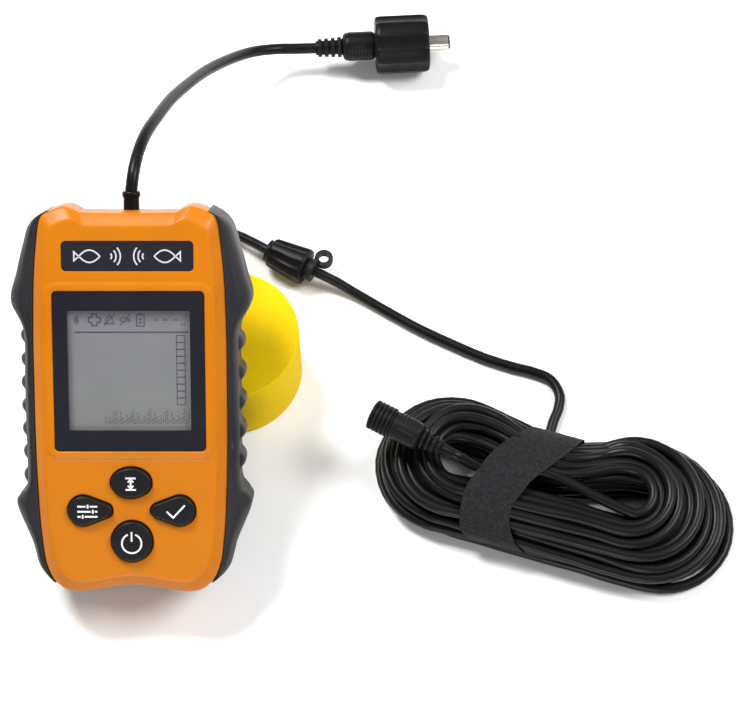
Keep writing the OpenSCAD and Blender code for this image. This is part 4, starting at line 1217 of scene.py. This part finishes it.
def make_stop():
    bm = bmesh.new()
    profile = [(3.2, 0), (4.3, 0), (4.65, 0.25), (4.85, 0.8, 0.5)]
    profile += [(4.85 + 1.2 * t, 0.8 + 11 * t, 1) for t in (0.25, 0.5, 0.75)]
    profile += [(6.05, 11.6, 0.9), (6.0, 12.15, 0.4), (5.7, 12.6), (3.2, 12.6)]
    add_lathe(bm, profile, 96, 6, 0.5, hollow=True)
    return finish_mesh(bm, "stop_sleeve", STOP, "plug_plastic", ["stop_nut"], 35, "stop_nut")


def make_jack():
    made = []
    bm = bmesh.new()
    profile = [(2.8, 6.8), (2.8, 0.3), (3.0, 0), (4.3, 0), (4.7, 0.2)]
    for k in range(5):
        z = 0.2 + 1.35 * k
        profile += [(4.7, z), (4.7, z + 0.75), (4.3, z + 0.85), (4.3, z + 1.25)]
    profile += [(4.2, 7.2), (1.0, 7.2)]
    add_lathe(bm, profile, 48)
    made.append(finish_mesh(bm, "jack_threads", JACK, "plug_plastic", ["jack_nose"], 35))

    bm = bmesh.new()
    add_lathe(bm, [
        (1.0, 7.2), (3.9, 7.2), (4.25, 7.6), (4.25, 15.4), (3.9, 16.1), (3.3, 16.6), (1.0, 16.6),
    ], 48)
    add_pads(bm, 11.4, 5.6, 4.2, 4.25, 6, -40)
    add_pads(bm, 12.0, 6.4, 0.9, 4.25, 12, 32)
    made.append(finish_mesh(bm, "jack_grip", JACK, "plug_plastic", ["jack_body"], 40))

    bm = bmesh.new()
    profile = [(1.0, 16.6), (2.7, 16.6)]
    profile += ringed_profile([(17.2 + 1.75 * k, 0.95, 3.2 - 0.24 * k) for k in range(4)], 2.05)
    profile += [(2.0, 24.0), (1.7, 24.0)]
    add_lathe(bm, profile, 40)
    made.append(finish_mesh(bm, "jack_relief", JACK, "plug_plastic", ["jack_boot"], 40))
    return made


# Where the middle of the strap lies along the hank, in even steps round the bundle that
# start at its far side and go over its top
STRAP_X = [
    -1.2, -2.0, -4.2, -8.4, -13.6, -16.7, -16.6, -15.2, -13, -10.2, -8.2, -6.6, -5, -3.6, -2.4, -1.5,
]


def bundle_point(turn):
    """Point of the bundle's section: across the hank, and height."""
    c, s = cos(turn), sin(turn)
    y = BUNDLE_W * abs(c) ** (2 / BUNDLE_POWER) * (1 if c > 0 else -1)
    z = BUNDLE_H * abs(s) ** (2 / BUNDLE_POWER) * (1 if s > 0 else -1)
    return BUNDLE_Y + y, BUNDLE_Z + z


def strap_line():
    """Middle of the strap round the bundle, and the length up to each of its points."""
    xs = smooth_loop([(x, 0, 0) for x in STRAP_X], 5)
    line = [Vector((q.x, *bundle_point(tau * (i + 0.01) / len(xs)))) for i, q in enumerate(xs)]
    lengths = [0.0]
    for i, p in enumerate(line):
        q = line[(i + 1) % len(line)]
        lengths.append(lengths[-1] + sqrt((q.y - p.y) ** 2 + (q.z - p.z) ** 2))
    return line, lengths


def on_bundle(line, lengths, s, x, lift):
    """Point at the length s round the bundle, at x along it and lifted off it."""
    count = len(line)
    s %= lengths[-1]
    i = next(k for k in range(count) if lengths[k + 1] > s or k == count - 1)
    t = (s - lengths[i]) / (lengths[i + 1] - lengths[i])
    a, b = line[i], line[(i + 1) % count]
    before, after = line[i - 1], line[(i + 2) % count]
    along = (b - before) * (1 - t) + (after - a) * t
    out = Vector((0, along.z, -along.y)).normalized()
    return Vector((x, a.y + (b.y - a.y) * t, a.z + (b.z - a.z) * t)) - out * lift


def strap_section(line, lengths, i, across=10):
    """Loop of points round the strap where it passes point i of its middle line."""
    count = len(line)
    last = i - 1 if i else count - 1
    ds = (lengths[i + 1] - lengths[i]) + (lengths[last + 1] - lengths[last])
    dx = line[(i + 1) % count].x - line[i - 1].x
    size = sqrt(ds * ds + dx * dx)
    inner, outer = [], []
    for j in range(across + 1):
        w = (j / across - 0.5) * STRAP_W
        s = lengths[i] - w * dx / size
        x = line[i].x + w * ds / size
        thin = 0.35 if j in (0, across) else 0.0
        inner.append(on_bundle(line, lengths, s, x, 0.0))
        outer.append(on_bundle(line, lengths, s, x, STRAP_T - 0.1 - thin))
    return inner + outer[::-1]


def make_strap():
    """Hook and loop strap drawn aslant round the bundle."""
    line, lengths = strap_line()
    bm = bmesh.new()
    rings = add_skin(bm, [strap_section(line, lengths, i) for i in range(len(line))])
    bridge(bm, rings[-1], rings[0])
    return finish_mesh(bm, "strap_band", HANK, "strap", ["hank_strap"], 60)


# Looks of the CAD nodes that stay ------------
def dress_cad_nodes():
    for part in frame["record"]["subparts"]:
        made = NODES[part["node"]]
        made.data.materials.clear()
        made.data.materials.append(MATERIALS[part["material_slot"]])


# Stage ------------
def make_stage():
    bm = bmesh.new()
    half = 3.0
    bm.faces.new(add_ring(bm, [(-half, -half, 0), (half, -half, 0), (half, half, 0), (-half, half, 0)]))
    mesh = bpy.data.meshes.new("floor")
    bm.to_mesh(mesh)
    bm.free()
    mesh.materials.append(moulded("floor_paint", (0.86, 0.86, 0.86), (0.88, 0.88, 0.88), 0.9, 5.0, 0.01))
    floor = bpy.data.objects.new("floor", mesh)
    bpy.context.scene.collection.objects.link(floor)


def make_light(name, place, aim, size, power, shine):
    data = bpy.data.lights.new(name, "AREA")
    data.shape = "DISK"
    data.size = size
    data.energy = power
    data.specular_factor = shine
    lamp = bpy.data.objects.new(name, data)
    lamp.location = place
    lamp.rotation_euler = (Vector(place) - Vector(aim)).to_track_quat("Z", "Y").to_euler()
    bpy.context.scene.collection.objects.link(lamp)


def make_lights():
    world = bpy.data.worlds.new("studio")
    world.use_nodes = True
    sky = world.node_tree.nodes["Background"]
    sky.inputs["Color"].default_value = (1, 1, 1, 1)
    sky.inputs["Strength"].default_value = 0.3
    bpy.context.scene.world = world
    make_light("key", (-0.4, 0.5, 1.0), (0.04, 0.05, 0), 0.4, 18, 0.45)
    make_light("fill", (0.75, 0.1, 0.85), (0.04, 0.05, 0), 0.5, 10, 0.6)
    make_light("front", (-0.1, -1.3, 0.42), (0.02, 0.0, 0.04), 0.6, 8, 0.25)


bpy.context.scene.view_settings.view_transform = "Standard"
make_camera()
pigtail, cable = make_cords()
dress_cad_nodes()
make_front_shell()
make_back_shell()
make_battery_cover()
make_grip("left_rubber", -1, (0.302 * CASE_L, 0.0602 * CASE_L, 7, 2.2), "left_grip")
make_grip("right_rubber", 1, (0.34 * CASE_L, 0.0762 * CASE_L, 5, 2.8), "right_grip")
make_window()
make_display()
make_name_plate()
make_display_marks()
make_keys()
make_gland()
make_float()
plug_pieces = make_plug()
stop_sleeve = make_stop()
jack_pieces = make_jack()
strap = make_strap()
make_stage()
make_lights()
